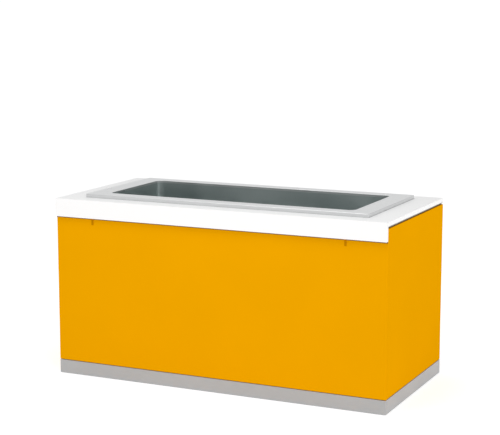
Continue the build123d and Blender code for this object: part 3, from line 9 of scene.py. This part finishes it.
import bmesh
import bpy
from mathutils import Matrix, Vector


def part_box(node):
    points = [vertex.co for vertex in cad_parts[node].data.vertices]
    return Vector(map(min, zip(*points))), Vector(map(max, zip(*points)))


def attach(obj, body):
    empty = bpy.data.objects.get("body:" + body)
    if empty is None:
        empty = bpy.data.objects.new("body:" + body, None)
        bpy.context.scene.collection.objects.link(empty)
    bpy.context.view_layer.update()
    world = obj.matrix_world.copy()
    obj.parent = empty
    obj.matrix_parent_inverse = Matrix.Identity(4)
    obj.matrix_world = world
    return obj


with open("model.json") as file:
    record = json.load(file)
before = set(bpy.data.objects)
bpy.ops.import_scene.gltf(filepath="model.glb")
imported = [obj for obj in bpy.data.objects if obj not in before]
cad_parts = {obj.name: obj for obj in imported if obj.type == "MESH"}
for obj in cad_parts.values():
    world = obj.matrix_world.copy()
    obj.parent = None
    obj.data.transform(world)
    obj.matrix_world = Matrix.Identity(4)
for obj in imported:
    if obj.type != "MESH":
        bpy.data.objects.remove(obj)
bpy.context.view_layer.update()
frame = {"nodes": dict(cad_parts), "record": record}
NODES = frame["nodes"]

# Camera: the direction it looks from, the point it looks at, and how far away it is
CAMERA_AZIMUTH = math.radians(25.06)
CAMERA_ELEVATION = math.radians(9.376)
CAMERA_AIM = Vector((-0.020, 0.053, 0.792))
CAMERA_DISTANCE = 7.191
CAMERA_LENS = 102.8
SENSOR_WIDTH = 36.0


# ---------------------------------------------------------------- material helpers
EVEN = (1.0, 1.0, 1.0)
# Height in metres over which the painted shade of painted_shade_below fades in
PAINTED_SHADE_BLEND = 0.001


class Look:
    """A principled material whose inputs can be driven by textures in object space.

    Further sockets are given by name, such as coat_weight for Coat Weight.
    """

    def __init__(self, name, colour, roughness, metallic=0.0, **sockets):
        self.material = bpy.data.materials.new(name)
        self.material.use_nodes = True
        self.tree = self.material.node_tree
        self.shader = self.tree.nodes["Principled BSDF"]
        self.set("Base Color", (*colour, 1.0))
        self.set("Roughness", roughness)
        self.set("Metallic", metallic)
        for label, value in sockets.items():
            self.set(label.replace("_", " ").title().replace("Ior", "IOR"), value)

    def set(self, socket, value):
        self.shader.inputs[socket].default_value = value

    def node(self, kind, **inputs):
        made = self.tree.nodes.new(kind)
        for label, value in inputs.items():
            made.inputs[label.replace("_", " ")].default_value = value
        return made

    def link(self, source, target):
        self.tree.links.new(source, target)

    def space(self, stretch=EVEN):
        """Object coordinates, scaled along each axis; a small number draws a grain out."""
        coordinates = self.node("ShaderNodeTexCoord")
        mapping = self.node("ShaderNodeMapping", Scale=stretch)
        self.link(coordinates.outputs["Object"], mapping.inputs["Vector"])
        return mapping.outputs["Vector"]

    def noise(self, scale, detail, rough=0.5, stretch=EVEN):
        texture = self.node("ShaderNodeTexNoise", Scale=scale, Detail=detail, Roughness=rough)
        self.link(self.space(stretch), texture.inputs["Vector"])
        return texture.outputs["Fac"]

    def cells(self, scale):
        texture = self.node("ShaderNodeTexVoronoi", Scale=scale)
        self.link(self.space(), texture.inputs["Vector"])
        return texture

    def spread(self, factor, low, high, start=0.3, end=0.7):
        """Map a texture's middle range onto low..high."""
        ramp = self.node("ShaderNodeMapRange", From_Min=start, From_Max=end, To_Min=low, To_Max=high)
        self.link(factor, ramp.inputs["Value"])
        return ramp.outputs["Result"]

    def colours(self, factor, first, second, start=0.3, end=0.7):
        """Blend the base colour between two shades by a texture."""
        ramp = self.node("ShaderNodeValToRGB")
        ramp.color_ramp.elements[0].position = start
        ramp.color_ramp.elements[1].position = end
        ramp.color_ramp.elements[0].color = (*first, 1.0)
        ramp.color_ramp.elements[1].color = (*second, 1.0)
        self.link(factor, ramp.inputs["Fac"])
        self.link(ramp.outputs["Color"], self.shader.inputs["Base Color"])
        return self

    def rough(self, factor, low, high):
        """Let the roughness run from low to high by a texture."""
        self.link(self.spread(factor, low, high), self.shader.inputs["Roughness"])
        return self

    def painted_shade_below(self, height, amount):
        """Paint shade: let the base colour fall to amount of itself under a height."""
        coordinates = self.node("ShaderNodeTexCoord")
        parts = self.node("ShaderNodeSeparateXYZ")
        self.link(coordinates.outputs["Object"], parts.inputs["Vector"])
        share = self.spread(parts.outputs["Z"], amount, 1.0, height - PAINTED_SHADE_BLEND, height)
        mix = self.node("ShaderNodeMix")
        mix.data_type = "RGBA"
        mix.blend_type = "MULTIPLY"
        mix.inputs["Factor"].default_value = 1.0
        self.link(self.shader.inputs["Base Color"].links[0].from_socket, mix.inputs["A"])
        self.link(share, mix.inputs["B"])
        self.link(mix.outputs["Result"], self.shader.inputs["Base Color"])
        return self

    def bump(self, factor, height, strength):
        """Raise the surface by a texture; height is in metres."""
        relief = self.node("ShaderNodeBump", Strength=strength, Distance=height)
        self.link(factor, relief.inputs["Height"])
        self.link(relief.outputs["Normal"], self.shader.inputs["Normal"])
        return self


def shade(colour, amount):
    """The same colour, lighter (above 1) or darker (below 1)."""
    return tuple(min(1.0, channel * amount) for channel in colour)


def laminate(name, colour, roughness=0.42):
    """High-pressure laminate: even colour, faint cloudiness and a fine pearl texture."""
    look = Look(name, colour, roughness, specular_ior_level=0.0)
    look.colours(look.noise(scale=3.0, detail=2.0), shade(colour, 0.985), shade(colour, 1.01))
    look.rough(look.noise(scale=40.0, detail=2.0), low=roughness - 0.04, high=roughness + 0.04)
    look.bump(look.noise(scale=1500.0, detail=2.0), height=0.00002, strength=0.35)
    return look


def solid_surface(name, colour):
    """Mineral-filled acrylic: off-white with fine pale grains and a honed sheen."""
    look = Look(
        name,
        colour,
        roughness=0.34,
        specular_ior_level=0.45,
        coat_weight=0.05,
        coat_roughness=0.3,
    )
    grains = look.cells(scale=900.0)
    look.colours(grains.outputs["Distance"], shade(colour, 0.97), colour, start=0.0, end=0.35)
    look.rough(look.noise(scale=18.0, detail=3.0), low=0.30, high=0.38)
    look.bump(look.noise(scale=700.0, detail=2.0), height=0.00001, strength=0.3)
    return look


def brushed(name, colour, along, roughness=0.32, metallic=1.0):
    """Brushed sheet metal; along is the axis that the brush marks follow."""
    drawn_out = 0.02
    stretch = tuple(drawn_out if axis == along else 1.0 for axis in range(3))
    look = Look(name, colour, roughness, metallic)
    grain = look.noise(scale=1400.0, detail=4.0, rough=0.65, stretch=stretch)
    broad = look.noise(scale=6.0, detail=3.0)
    look.colours(grain, shade(colour, 0.93), shade(colour, 1.04))
    look.rough(broad, low=roughness - 0.05, high=roughness + 0.06)
    look.bump(grain, height=0.00003, strength=0.5)
    return look


def galvanised(name, colour):
    """Zinc-coated sheet with frost-like spangle."""
    look = Look(name, colour, roughness=0.42, metallic=0.9)
    spangle = look.cells(scale=85.0)
    dark, light = shade(colour, 0.78), shade(colour, 1.08)
    look.colours(spangle.outputs["Color"], dark, light, start=0.15, end=0.85)
    look.rough(look.noise(scale=60.0, detail=3.0), low=0.34, high=0.52)
    return look


def coated(name, colour, roughness=0.45, peel=0.00005):
    """Powder coat: satin paint with a slight orange peel."""
    look = Look(name, colour, roughness, coat_weight=0.1, coat_roughness=0.35)
    look.colours(look.noise(scale=4.0, detail=2.0), shade(colour, 0.96), shade(colour, 1.04))
    look.bump(look.noise(scale=420.0, detail=2.0), height=peel, strength=0.35)
    look.rough(look.noise(scale=30.0, detail=2.0), low=roughness - 0.05, high=roughness + 0.06)
    return look


def moulded(name, colour, roughness=0.5, grain=0.00004):
    """Moulded plastic or rubber with a spark-eroded grain."""
    look = Look(name, colour, roughness, specular_ior_level=0.4)
    look.colours(look.noise(scale=25.0, detail=3.0), shade(colour, 0.92), shade(colour, 1.1))
    look.bump(look.noise(scale=2200.0, detail=2.0), height=grain, strength=0.4)
    look.rough(look.noise(scale=140.0, detail=2.0), low=roughness - 0.08, high=roughness + 0.08)
    return look


def tube_metal(name, colour, tarnish):
    """Drawn copper or brass with patches of tarnish."""
    look = Look(name, colour, roughness=0.28, metallic=1.0)
    patches = look.noise(scale=28.0, detail=5.0, rough=0.6)
    look.colours(patches, colour, tarnish, start=0.42, end=0.72)
    look.rough(look.noise(scale=90.0, detail=3.0), low=0.2, high=0.42)
    return look


def foamed(name, colour, cell_scale):
    """Open, cellular foam."""
    look = Look(name, colour, roughness=0.9)
    bubbles = look.cells(cell_scale)
    look.colours(bubbles.outputs["Distance"], shade(colour, 0.8), colour, start=0.0, end=0.5)
    look.bump(bubbles.outputs["Distance"], height=0.0006, strength=0.6)
    return look


# ---------------------------------------------------------------- materials by slot
AMBER = (0.79, 0.348, 0.0)
WHITE = (0.91, 0.91, 0.91)
STEEL = (0.95, 0.96, 0.965)
X_AXIS, Y_AXIS, Z_AXIS = 0, 1, 2
# The rim's upright faces start just under its flat top; in the photo they are in shade
RIM_SKIRT_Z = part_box("well_rim")[1][2] - 0.0004
# RIM_SHADE is the share of base colour left under RIM_SKIRT_Z: painted shade on the rim's upright
# faces
RIM_SHADE = 0.74
LOOKS = {
    "amber_laminate": laminate("amber laminate", AMBER),
    "white_solid_surface": solid_surface("white solid surface", WHITE),
    "silver_plinth": brushed("silver plinth", (0.41, 0.415, 0.42), X_AXIS, 0.42, metallic=0.25),
    # Strips in the worktop's shadow gaps and under the apron: dark foam, with a brown that is
    # painted shade of those gaps
    "dark_strip": foamed("painted shade strip", (0.17, 0.1, 0.03), 1600.0),
    "frame_grey": coated("frame powder coat", (0.16, 0.17, 0.18)),
    "galvanised_steel": galvanised("galvanised sheet", (0.55, 0.57, 0.58)),
    # Satin stainless takes painted shade: its base colour falls to RIM_SHADE below RIM_SKIRT_Z, on
    # every part in this finish
    "stainless_satin": brushed("satin stainless painted shade", STEEL, X_AXIS).painted_shade_below(RIM_SKIRT_Z, RIM_SHADE),
    "fascia_steel": brushed("fascia stainless", (0.5, 0.505, 0.51), X_AXIS, 0.36),
    "amber_coat": laminate("amber coat", (0.52, 0.21, 0.0), 0.5),
    "stainless_well": brushed("well stainless", (0.525, 0.575, 0.57), Z_AXIS, 0.34),
    "stainless_bar": brushed("stainless bar", (0.6, 0.6, 0.6), Z_AXIS, 0.25),
    "zinc_steel": galvanised("zinc plate", (0.6, 0.6, 0.57)),
    "seal_grey": moulded("rubber seal", (0.09, 0.095, 0.095), 0.7),
    "foam_cream": foamed("polyurethane foam", (0.72, 0.6, 0.33), 700.0),
    "copper": tube_metal("copper", (0.75, 0.36, 0.22), (0.38, 0.17, 0.1)),
    "valve_brass": tube_metal("brass", (0.72, 0.52, 0.22), (0.45, 0.3, 0.12)),
    "lever_red": moulded("red dip", (0.5, 0.015, 0.012), 0.35),
    "pipe_grey": moulded("grey pipe", (0.28, 0.3, 0.31), 0.42),
    "compressor_black": coated("black enamel", (0.012, 0.012, 0.013), 0.28),
    "black_plastic": moulded("black plastic", (0.015, 0.015, 0.016)),
    "black_rubber": moulded("black rubber", (0.018, 0.018, 0.018), 0.75),
    "fin_aluminium": brushed("fins", (0.72, 0.73, 0.74), Z_AXIS, 0.35),
    "fan_aluminium": brushed("fan aluminium", (0.6, 0.61, 0.62), X_AXIS, 0.38),
    "grey_enamel": coated("grey enamel", (0.34, 0.355, 0.365)),
    "motor_cast": coated("motor casting", (0.02, 0.02, 0.022), 0.55, peel=0.0002),
    "shelf_white": laminate("melamine", (0.74, 0.74, 0.71), 0.5),
    "box_grey": moulded("grey housing", (0.48, 0.49, 0.49)),
    "window_smoke": moulded("smoked window", (0.02, 0.006, 0.006), 0.12, grain=0.000002),
    "button_grey": moulded("grey keys", (0.2, 0.21, 0.22), 0.55),
    "rocker_green": moulded("green rocker", (0.01, 0.25, 0.03), 0.22),
}
for entry in frame["record"]["subparts"]:
    material_slots = NODES[entry["node"]].data.materials
    material_slots.clear()
    material_slots.append(LOOKS[entry["material_slot"]].material)


# ---------------------------------------------------------------- building new pieces
MM = 0.001
ROUND_STEPS = 24
CORNER_STEPS = 8
SHARP_ANGLE = math.radians(38.0)
# Hair's breadth left between a new piece and the CAD face that it lies on
AIR = 0.1 * MM
SILICONE = moulded("grey silicone", (0.5, 0.51, 0.51), 0.4, grain=0.000004)
# Grey of the profiles under the worktop's side edges: painted shade of the worktop's underside edge
REVEAL_SHADE_GREY = brushed("reveal profile painted shade", (0.34, 0.32, 0.29), Y_AXIS, 0.5, metallic=0.2)


def span(node):
    """Lowest and highest corners of a node's box at rest."""
    low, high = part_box(node)
    return Vector(low), Vector(high)


def middle(node):
    """Centre of a node's box at rest."""
    low, high = span(node)
    return (low + high) / 2


def block(mesh, low, high):
    """A bar between two corners."""
    ends_x, ends_y, ends_z = zip(low, high)
    verts = [mesh.verts.new((x, y, z)) for z in ends_z for y in ends_y for x in ends_x]
    for ring in ((0, 2, 3, 1), (4, 5, 7, 6), (0, 1, 5, 4), (1, 3, 7, 5), (3, 2, 6, 7), (2, 0, 4, 6)):
        mesh.faces.new([verts[index] for index in ring])


def skin(mesh, loops, closed):
    """Join loops of vertices with faces; a loop of one vertex closes an end."""
    pairs = list(zip(loops, loops[1:]))
    if closed:
        pairs.append((loops[-1], loops[0]))
    for first, second in pairs:
        steps = max(len(first), len(second))
        for index in range(steps):
            after = (index + 1) % steps
            corners = [first[index % len(first)], first[after % len(first)]]
            corners += [second[after % len(second)], second[index % len(second)]]
            mesh.faces.new(list(dict.fromkeys(corners)))


def turned(mesh, profile, centre, axis, steps=ROUND_STEPS):
    """Revolve (radius, height) points in millimetres about an axis through centre.

    A profile that starts on the axis makes a head or a disc, and any other a ring.
    """
    axis = Vector(axis).normalized()
    side = axis.orthogonal().normalized()
    across = axis.cross(side)
    loops = []
    for radius, height in profile:
        level = Vector(centre) + axis * height * MM
        turns = [2 * math.pi * step / steps for step in range(steps)] if radius else [0.0]
        spokes = [side * math.cos(turn) + across * math.sin(turn) for turn in turns]
        loops.append([mesh.verts.new(level + spoke * radius * MM) for spoke in spokes])
    skin(mesh, loops, profile[0][0] > 0)


def rounded_loop(half_x, half_y, radius, centre, height):
    """Points round a rectangle with rounded corners."""
    points = []
    for quarter, (sign_x, sign_y) in enumerate(((1, 1), (-1, 1), (-1, -1), (1, -1))):
        for step in range(CORNER_STEPS + 1):
            turn = (quarter + step / CORNER_STEPS) * math.pi / 2
            x = centre[0] + sign_x * (half_x - radius) + radius * math.cos(turn)
            y = centre[1] + sign_y * (half_y - radius) + radius * math.sin(turn)
            points.append((x, y, height))
    return points


def finished(mesh, name, slot, body, bevel=0.0, look=None):
    """Turn built geometry into a piece with the given look, or else its slot's finish, riding on a
    body.
    """
    bmesh.ops.recalc_face_normals(mesh, faces=mesh.faces)
    data = bpy.data.meshes.new(name)
    mesh.to_mesh(data)
    mesh.free()
    data.shade_smooth()
    data.set_sharp_from_angle(angle=SHARP_ANGLE)
    piece = bpy.data.objects.new(name, data)
    bpy.context.scene.collection.objects.link(piece)
    data.materials.append((look or LOOKS[slot]).material)
    if bevel:
        edge = piece.modifiers.new("edge", "BEVEL")
        edge.width = bevel * MM
        edge.segments = 2
        edge.limit_method = "ANGLE"
    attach(piece, body)


def wires(name, paths, thickness, slot, body):
    """Bent wires; each path is a list of points and whether it closes on itself."""
    curve = bpy.data.curves.new(name, "CURVE")
    curve.dimensions = "3D"
    curve.bevel_depth = thickness * MM / 2
    curve.bevel_resolution = 3
    for points, closed in paths:
        spline = curve.splines.new("POLY")
        spline.points.add(len(points) - 1)
        for point, place in zip(spline.points, points):
            point.co = (*place, 1.0)
        spline.use_cyclic_u = closed
        spline.use_smooth = True
    piece = bpy.data.objects.new(name, curve)
    bpy.context.scene.collection.objects.link(piece)
    curve.materials.append(LOOKS[slot].material)
    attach(piece, body)


# Sections of a domed rivet head, a washer and a bolt's head: (radius, height) in millimetres
RIVET = [(0, 1.6), (1.6, 1.3), (2.7, 0.6), (3.0, 0.0)]
WASHER = [(2.5, 0.05), (6.5, 0.05), (6.5, 1.0), (2.5, 1.0)]
HEX_HEAD = [(0, 4.6), (4.2, 4.6), (4.8, 4.1), (4.8, 1.0), (0, 1.0)]
# A section turned in six steps is a hexagon
HEX = 6


def bolt(mesh, place, axis):
    """A hexagonal head on its washer."""
    turned(mesh, WASHER, place, axis)
    turned(mesh, HEX_HEAD, place, axis, HEX)


# ---------------------------------------------------------------- customer side and rim
COUNTER = "counter"


def rim_bead():
    """Grey silicone where the rim stands on the worktop."""
    low, high = span("well_rim")
    base = span("worktop")[1].z
    centre, half = middle("well_rim"), (high - low) / 2
    rim_corner = 8.0 * MM
    section = [(3.0, 0.05), (1.1, 0.9), (0.3, 2.6), (0.3, 1.4), (-1.0, 1.4), (-1.0, 0.05)]
    mesh = bmesh.new()
    loops = []
    for out, up in section:
        reach = out * MM
        sides = half.x + reach, half.y + reach, rim_corner + reach
        points = rounded_loop(*sides, centre, base + up * MM)
        loops.append([mesh.verts.new(point) for point in points])
    skin(mesh, loops, True)
    finished(mesh, "rim_silicone_bead", "seal_grey", COUNTER, look=SILICONE)


def apron_painted_shade():
    """Dark strip in the corner between the apron and the front panel, cut at the brackets: painted
    shade under the apron.
    """
    under = span("worktop_apron")[0].z
    face = span("front_panel")[0].y
    left, right = span("front_panel")[0].x, span("front_panel")[1].x
    bracket_width = 10.0 * MM
    bracket_outer = -span("apron_brackets")[0].x
    gap = 0.5 * MM
    far, near = bracket_outer + gap, bracket_outer - bracket_width - gap
    thick, tall = 3.0 * MM, 6.5 * MM
    mesh = bmesh.new()
    for start, stop in ((left, -far), (-near, near), (far, right)):
        block(mesh, (start, face - thick, under - tall), (stop, face, under - AIR))
    finished(mesh, "apron_painted_shade_strip", "dark_strip", COUNTER, bevel=0.6)


def painted_shade_reveals():
    """Pale metal profile that edges the shadow gap under the worktop on each side; its grey is
    painted shade of the worktop's underside edge.
    """
    strip_low, strip_high = span("shadow_gap_strips")
    drop, inset = 4.2 * MM, 1.0 * MM
    inner, outer = strip_high.x + 2 * AIR, span("worktop")[1].x - inset
    for side, label in ((-1, "left"), (1, "right")):
        near, far = sorted((side * inner, side * outer))
        mesh = bmesh.new()
        low = (near, strip_low.y, strip_high.z - drop)
        block(mesh, low, (far, strip_high.y, strip_high.z - AIR))
        finished(mesh, f"painted_shade_reveal_{label}", "silver_plinth", COUNTER, bevel=0.5, look=REVEAL_SHADE_GREY)


# ---------------------------------------------------------------- operator's side
def handle_rosettes():
    """Turned collars where the door handles meet the doors."""
    collar = [(4.1, 0.05), (8.5, 0.05), (8.5, 1.4), (7.4, 2.2), (4.1, 2.2)]
    leg_in = 15.0 * MM
    owners = {
        "door_handle_left": "cupboard_door_left",
        "door_handle_right": "cupboard_door_right",
        "door_handle_service": "service_door",
    }
    for handle, door in owners.items():
        low, high = span(handle)
        mesh = bmesh.new()
        for height in (low.z + leg_in, high.z - leg_in):
            turned(mesh, collar, (middle(handle).x, low.y, height), (0, 1, 0))
        finished(mesh, f"{handle}_rosettes", "stainless_bar", door)


def door_buffers():
    """Rubber buffers on the inner corners of the cupboard doors."""
    dome = [(0, 2.6), (3.0, 2.3), (4.6, 1.2), (5.0, 0.05), (0, 0.05)]
    inset_x, inset_z = 14.0 * MM, 42.0 * MM
    for door in ("cupboard_door_left", "cupboard_door_right"):
        low, high = span(door)
        mesh = bmesh.new()
        for x in (low.x + inset_x, high.x - inset_x):
            for z in (low.z + inset_z, high.z - inset_z):
                turned(mesh, dome, (x, low.y, z), (0, -1, 0))
        finished(mesh, f"{door}_buffers", "black_rubber", door)


def key_marks():
    """Raised arrows on two keys and a bar on the third."""
    foot, rise, half = 0.02 * MM, 0.25 * MM, 2.2 * MM
    shapes = {
        "button_up": ((-half, -half / 2), (half, -half / 2), (0, half)),
        "button_down": ((-half, half / 2), (0, -half), (half, half / 2)),
        "button_set": ((-half, -half / 3), (half, -half / 3), (half, half / 3), (-half, half / 3)),
    }
    for button, outline in shapes.items():
        centre, face = middle(button), span(button)[1].y
        mesh = bmesh.new()
        loops = [
            [mesh.verts.new((centre.x + x, face + depth, centre.z + z)) for x, z in outline]
            for depth in (foot, rise)
        ]
        skin(mesh, loops, False)
        for loop in loops:
            mesh.faces.new(loop)
        finished(mesh, f"{button}_mark", "box_grey", button)


def shelf_edge():
    """Grey edge band on the shelf's open edge."""
    low, high = span("cupboard_shelf")
    thick = 1.2 * MM
    mesh = bmesh.new()
    block(mesh, (low.x, high.y + AIR / 2, low.z), (high.x, high.y + thick, high.z))
    finished(mesh, "shelf_edge_band", "box_grey", COUNTER, bevel=0.3)


# ---------------------------------------------------------------- machine compartment
def fan_guard():
    """Wire guard in front of the blades, hung from the shroud."""
    shroud = middle("condenser_shroud")
    # The wire's thickness is in millimetres, as in wires
    wire = 2.0
    front = 220.0 * MM
    # The spokes lie behind the rings and sink a fifth of a wire into them
    behind = front - 0.8 * wire * MM
    anchor = span("condenser_shroud")[0].y + 8.0 * MM
    rings, spokes = 7, 8
    inmost, pitch, splay = 52.0 * MM, 12.3 * MM, 2.0 * MM
    radii = [inmost + ring * pitch for ring in range(rings)]

    def place(radius, y, turn):
        return shroud.x + radius * math.cos(turn), y, shroud.z + radius * math.sin(turn)

    steps = 2 * ROUND_STEPS
    around = [2 * math.pi * step / steps for step in range(steps)]
    paths = [([place(radius, front, turn) for turn in around], True) for radius in radii]
    for spoke in range(spokes):
        turn = 2 * math.pi * (spoke + 0.5) / spokes
        bends = ((radii[0], behind), (radii[-1], behind), (radii[-1] + splay, anchor))
        paths.append(([place(radius, y, turn) for radius, y in bends], False))
    wires("fan_guard", paths, wire, "black_plastic", COUNTER)


def condenser_plates():
    """Folded end plates of the condenser's fin pack."""
    low, high = span("condenser_fins")
    sheet, flange = 1.2 * MM, 9.0 * MM
    mesh = bmesh.new()
    for edge, out in ((low.x, -1), (high.x, 1)):
        for reach, front in ((2 * sheet, low.y), (flange, high.y - sheet)):
            start, stop = sorted((edge + out * sheet, edge + out * reach))
            block(mesh, (start, front, low.z), (stop, high.y, high.z))
    finished(mesh, "condenser_end_plates", "galvanised_steel", COUNTER, bevel=0.3)


def pipe_nuts():
    """Brass nuts where the lines meet the compressor and the drier."""
    nut = [(4.2, 0.0), (9.2, 0.0), (9.8, 1.0), (9.8, 13.0), (9.2, 14.0), (4.2, 14.0)]
    shell_low, shell_high = span("compressor_shell")
    drier_low, drier_high = span("filter_drier")
    drier = middle("filter_drier")
    port_y = middle("compressor_shell").y
    suction_radius, discharge_radius = 5.0 * MM, 4.0 * MM
    suction_z = span("suction_line")[0].z + suction_radius
    discharge_z = span("discharge_line")[0].z + discharge_radius
    port_in = 16.0 * MM
    mesh = bmesh.new()
    turned(mesh, nut, (shell_high.x - port_in, port_y, suction_z), (1, 0, 0), HEX)
    turned(mesh, nut, (shell_low.x + port_in, port_y, discharge_z), (-1, 0, 0), HEX)
    turned(mesh, nut, (drier.x, drier.y, drier_low.z), (0, 0, -1), HEX)
    turned(mesh, nut, (drier.x, drier.y, drier_high.z), (0, 0, 1), HEX)
    finished(mesh, "pipe_nuts", "valve_brass", COUNTER)


def unit_bolts():
    """Nuts on the compressor's rubber mounts and bolts at the corners of the unit's plate."""
    low, high = span("compressor_grommets")
    plate_low, plate_high = span("unit_base_plate")
    inset, back_inset = 18.0 * MM, 54.0 * MM
    peg = 13.0 * MM
    nut = [(6.1, -4.8), (10.2, -4.8), (10.2, -0.8), (6.1, -0.8)]
    mesh = bmesh.new()
    for x in (low.x + peg, high.x - peg):
        for y in (low.y + peg, high.y - peg):
            turned(mesh, nut, (x, y, high.z), (0, 0, 1), HEX)
    for x in (plate_low.x + inset, plate_high.x - inset):
        for y in (plate_low.y + inset, plate_high.y - back_inset):
            bolt(mesh, (x, y, plate_high.z), (0, 0, 1))
    finished(mesh, "unit_bolts", "zinc_steel", COUNTER)


def box_lid():
    """Lid of the electrical box with its corner screws."""
    low, high = span("electrical_box")
    margin, screw_in, thick = 6.0 * MM, 18.0 * MM, 2.5 * MM
    corner = (low.x - thick, low.y + margin, low.z + margin)
    mesh = bmesh.new()
    block(mesh, corner, (low.x - AIR, high.y - margin, high.z - margin))
    finished(mesh, "electrical_box_lid", "box_grey", COUNTER, bevel=1.2)
    mesh = bmesh.new()
    for y in (low.y + screw_in, high.y - screw_in):
        for z in (low.z + screw_in, high.z - screw_in):
            turned(mesh, RIVET, (low.x - thick, y, z), (-1, 0, 0))
    finished(mesh, "electrical_box_screws", "zinc_steel", COUNTER)


def sheet_rivets():
    """Rivets along the foot and head of the partition and down the corners of the well's jacket."""
    ends, edge, head = 30.0 * MM, 12.0 * MM, 40.0 * MM

    def row(start, stop, count):
        length = stop - start - 2 * ends
        return [start + ends + length * step / (count - 1) for step in range(count)]

    mesh = bmesh.new()
    low, high = span("partition")
    for y in row(low.y, high.y, count=7):
        for z in (low.z + edge, high.z - head):
            turned(mesh, RIVET, (low.x, y, z), (-1, 0, 0))
    low, high = span("well_jacket")
    for z in row(low.z, high.z, count=6):
        for x in (low.x + edge, high.x - edge):
            turned(mesh, RIVET, (x, high.y, z), (0, 1, 0))
            turned(mesh, RIVET, (x, low.y, z), (0, -1, 0))
    finished(mesh, "sheet_rivets", "zinc_steel", COUNTER)


for make in (
    rim_bead,
    apron_painted_shade,
    painted_shade_reveals,
    handle_rosettes,
    door_buffers,
    key_marks,
    shelf_edge,
    fan_guard,
    condenser_plates,
    pipe_nuts,
    unit_bolts,
    box_lid,
    sheet_rivets,
):
    make()


# ---------------------------------------------------------------- studio
PURE_WHITE = (1.0, 1.0, 1.0, 1.0)
SKY_STRENGTH = 0.685
FLOOR_REACH = 300.0
FLOOR_GLOW = 0.42
# name: place, point it faces, width and height in metres, power in watts
LIGHTS = {
    "overhead": ((0.0, -1.6, 3.3), (0.0, -0.2, 0.6), (3.2, 1.5), 33.0),
    "side fill": ((5.5, -1.0, 3.0), (0.0, 0.0, 0.5), (3.0, 3.0), 38.0),
}


def area_light(name, place, aim, size, power):
    """A soft rectangular lamp that faces a point."""
    data = bpy.data.lights.new(name, "AREA")
    data.shape = "RECTANGLE"
    data.size, data.size_y = size
    data.energy = power
    lamp = bpy.data.objects.new(name, data)
    lamp.location = place
    lamp.rotation_euler = (Vector(aim) - Vector(place)).to_track_quat("-Z", "Y").to_euler()
    bpy.context.scene.collection.objects.link(lamp)


def studio():
    """A white room: bright sky, two large soft lights and a pale floor."""
    world = bpy.data.worlds.new("studio")
    bpy.context.scene.world = world
    world.use_nodes = True
    background = world.node_tree.nodes["Background"]
    background.inputs["Color"].default_value = PURE_WHITE
    background.inputs["Strength"].default_value = SKY_STRENGTH
    for name, setting in LIGHTS.items():
        area_light(name, *setting)

    mesh = bpy.data.meshes.new("floor")
    signs = ((-1, -1), (1, -1), (1, 1), (-1, 1))
    mesh.from_pydata([(x * FLOOR_REACH, y * FLOOR_REACH, 0) for x, y in signs], [], [(0, 1, 2, 3)])
    floor = bpy.data.objects.new("floor", mesh)
    bpy.context.scene.collection.objects.link(floor)
    floor_low, floor_high = (0.9, 0.9, 0.9), (0.92, 0.92, 0.92)
    pale = Look("pale floor", floor_low, roughness=0.8, specular_ior_level=0.1)
    pale.colours(pale.noise(scale=0.8, detail=2.0), floor_low, floor_high)
    pale.set("Emission Color", PURE_WHITE)
    pale.set("Emission Strength", FLOOR_GLOW)
    mesh.materials.append(pale.material)


def camera():
    """The photo's viewpoint, which looks from the customer's side and a little from the right."""
    forward = Vector(
        (
            -math.sin(CAMERA_AZIMUTH) * math.cos(CAMERA_ELEVATION),
            math.cos(CAMERA_AZIMUTH) * math.cos(CAMERA_ELEVATION),
            -math.sin(CAMERA_ELEVATION),
        )
    )
    data = bpy.data.cameras.new("camera")
    data.lens = CAMERA_LENS
    data.sensor_width = SENSOR_WIDTH
    data.sensor_fit = "HORIZONTAL"
    view = bpy.data.objects.new("camera", data)
    view.location = CAMERA_AIM - forward * CAMERA_DISTANCE
    view.rotation_euler = forward.to_track_quat("-Z", "Y").to_euler()
    bpy.context.scene.collection.objects.link(view)
    bpy.context.scene.camera = view


studio()
camera()
settings = bpy.context.scene.view_settings
settings.view_transform = "Standard"
settings.look = "None"
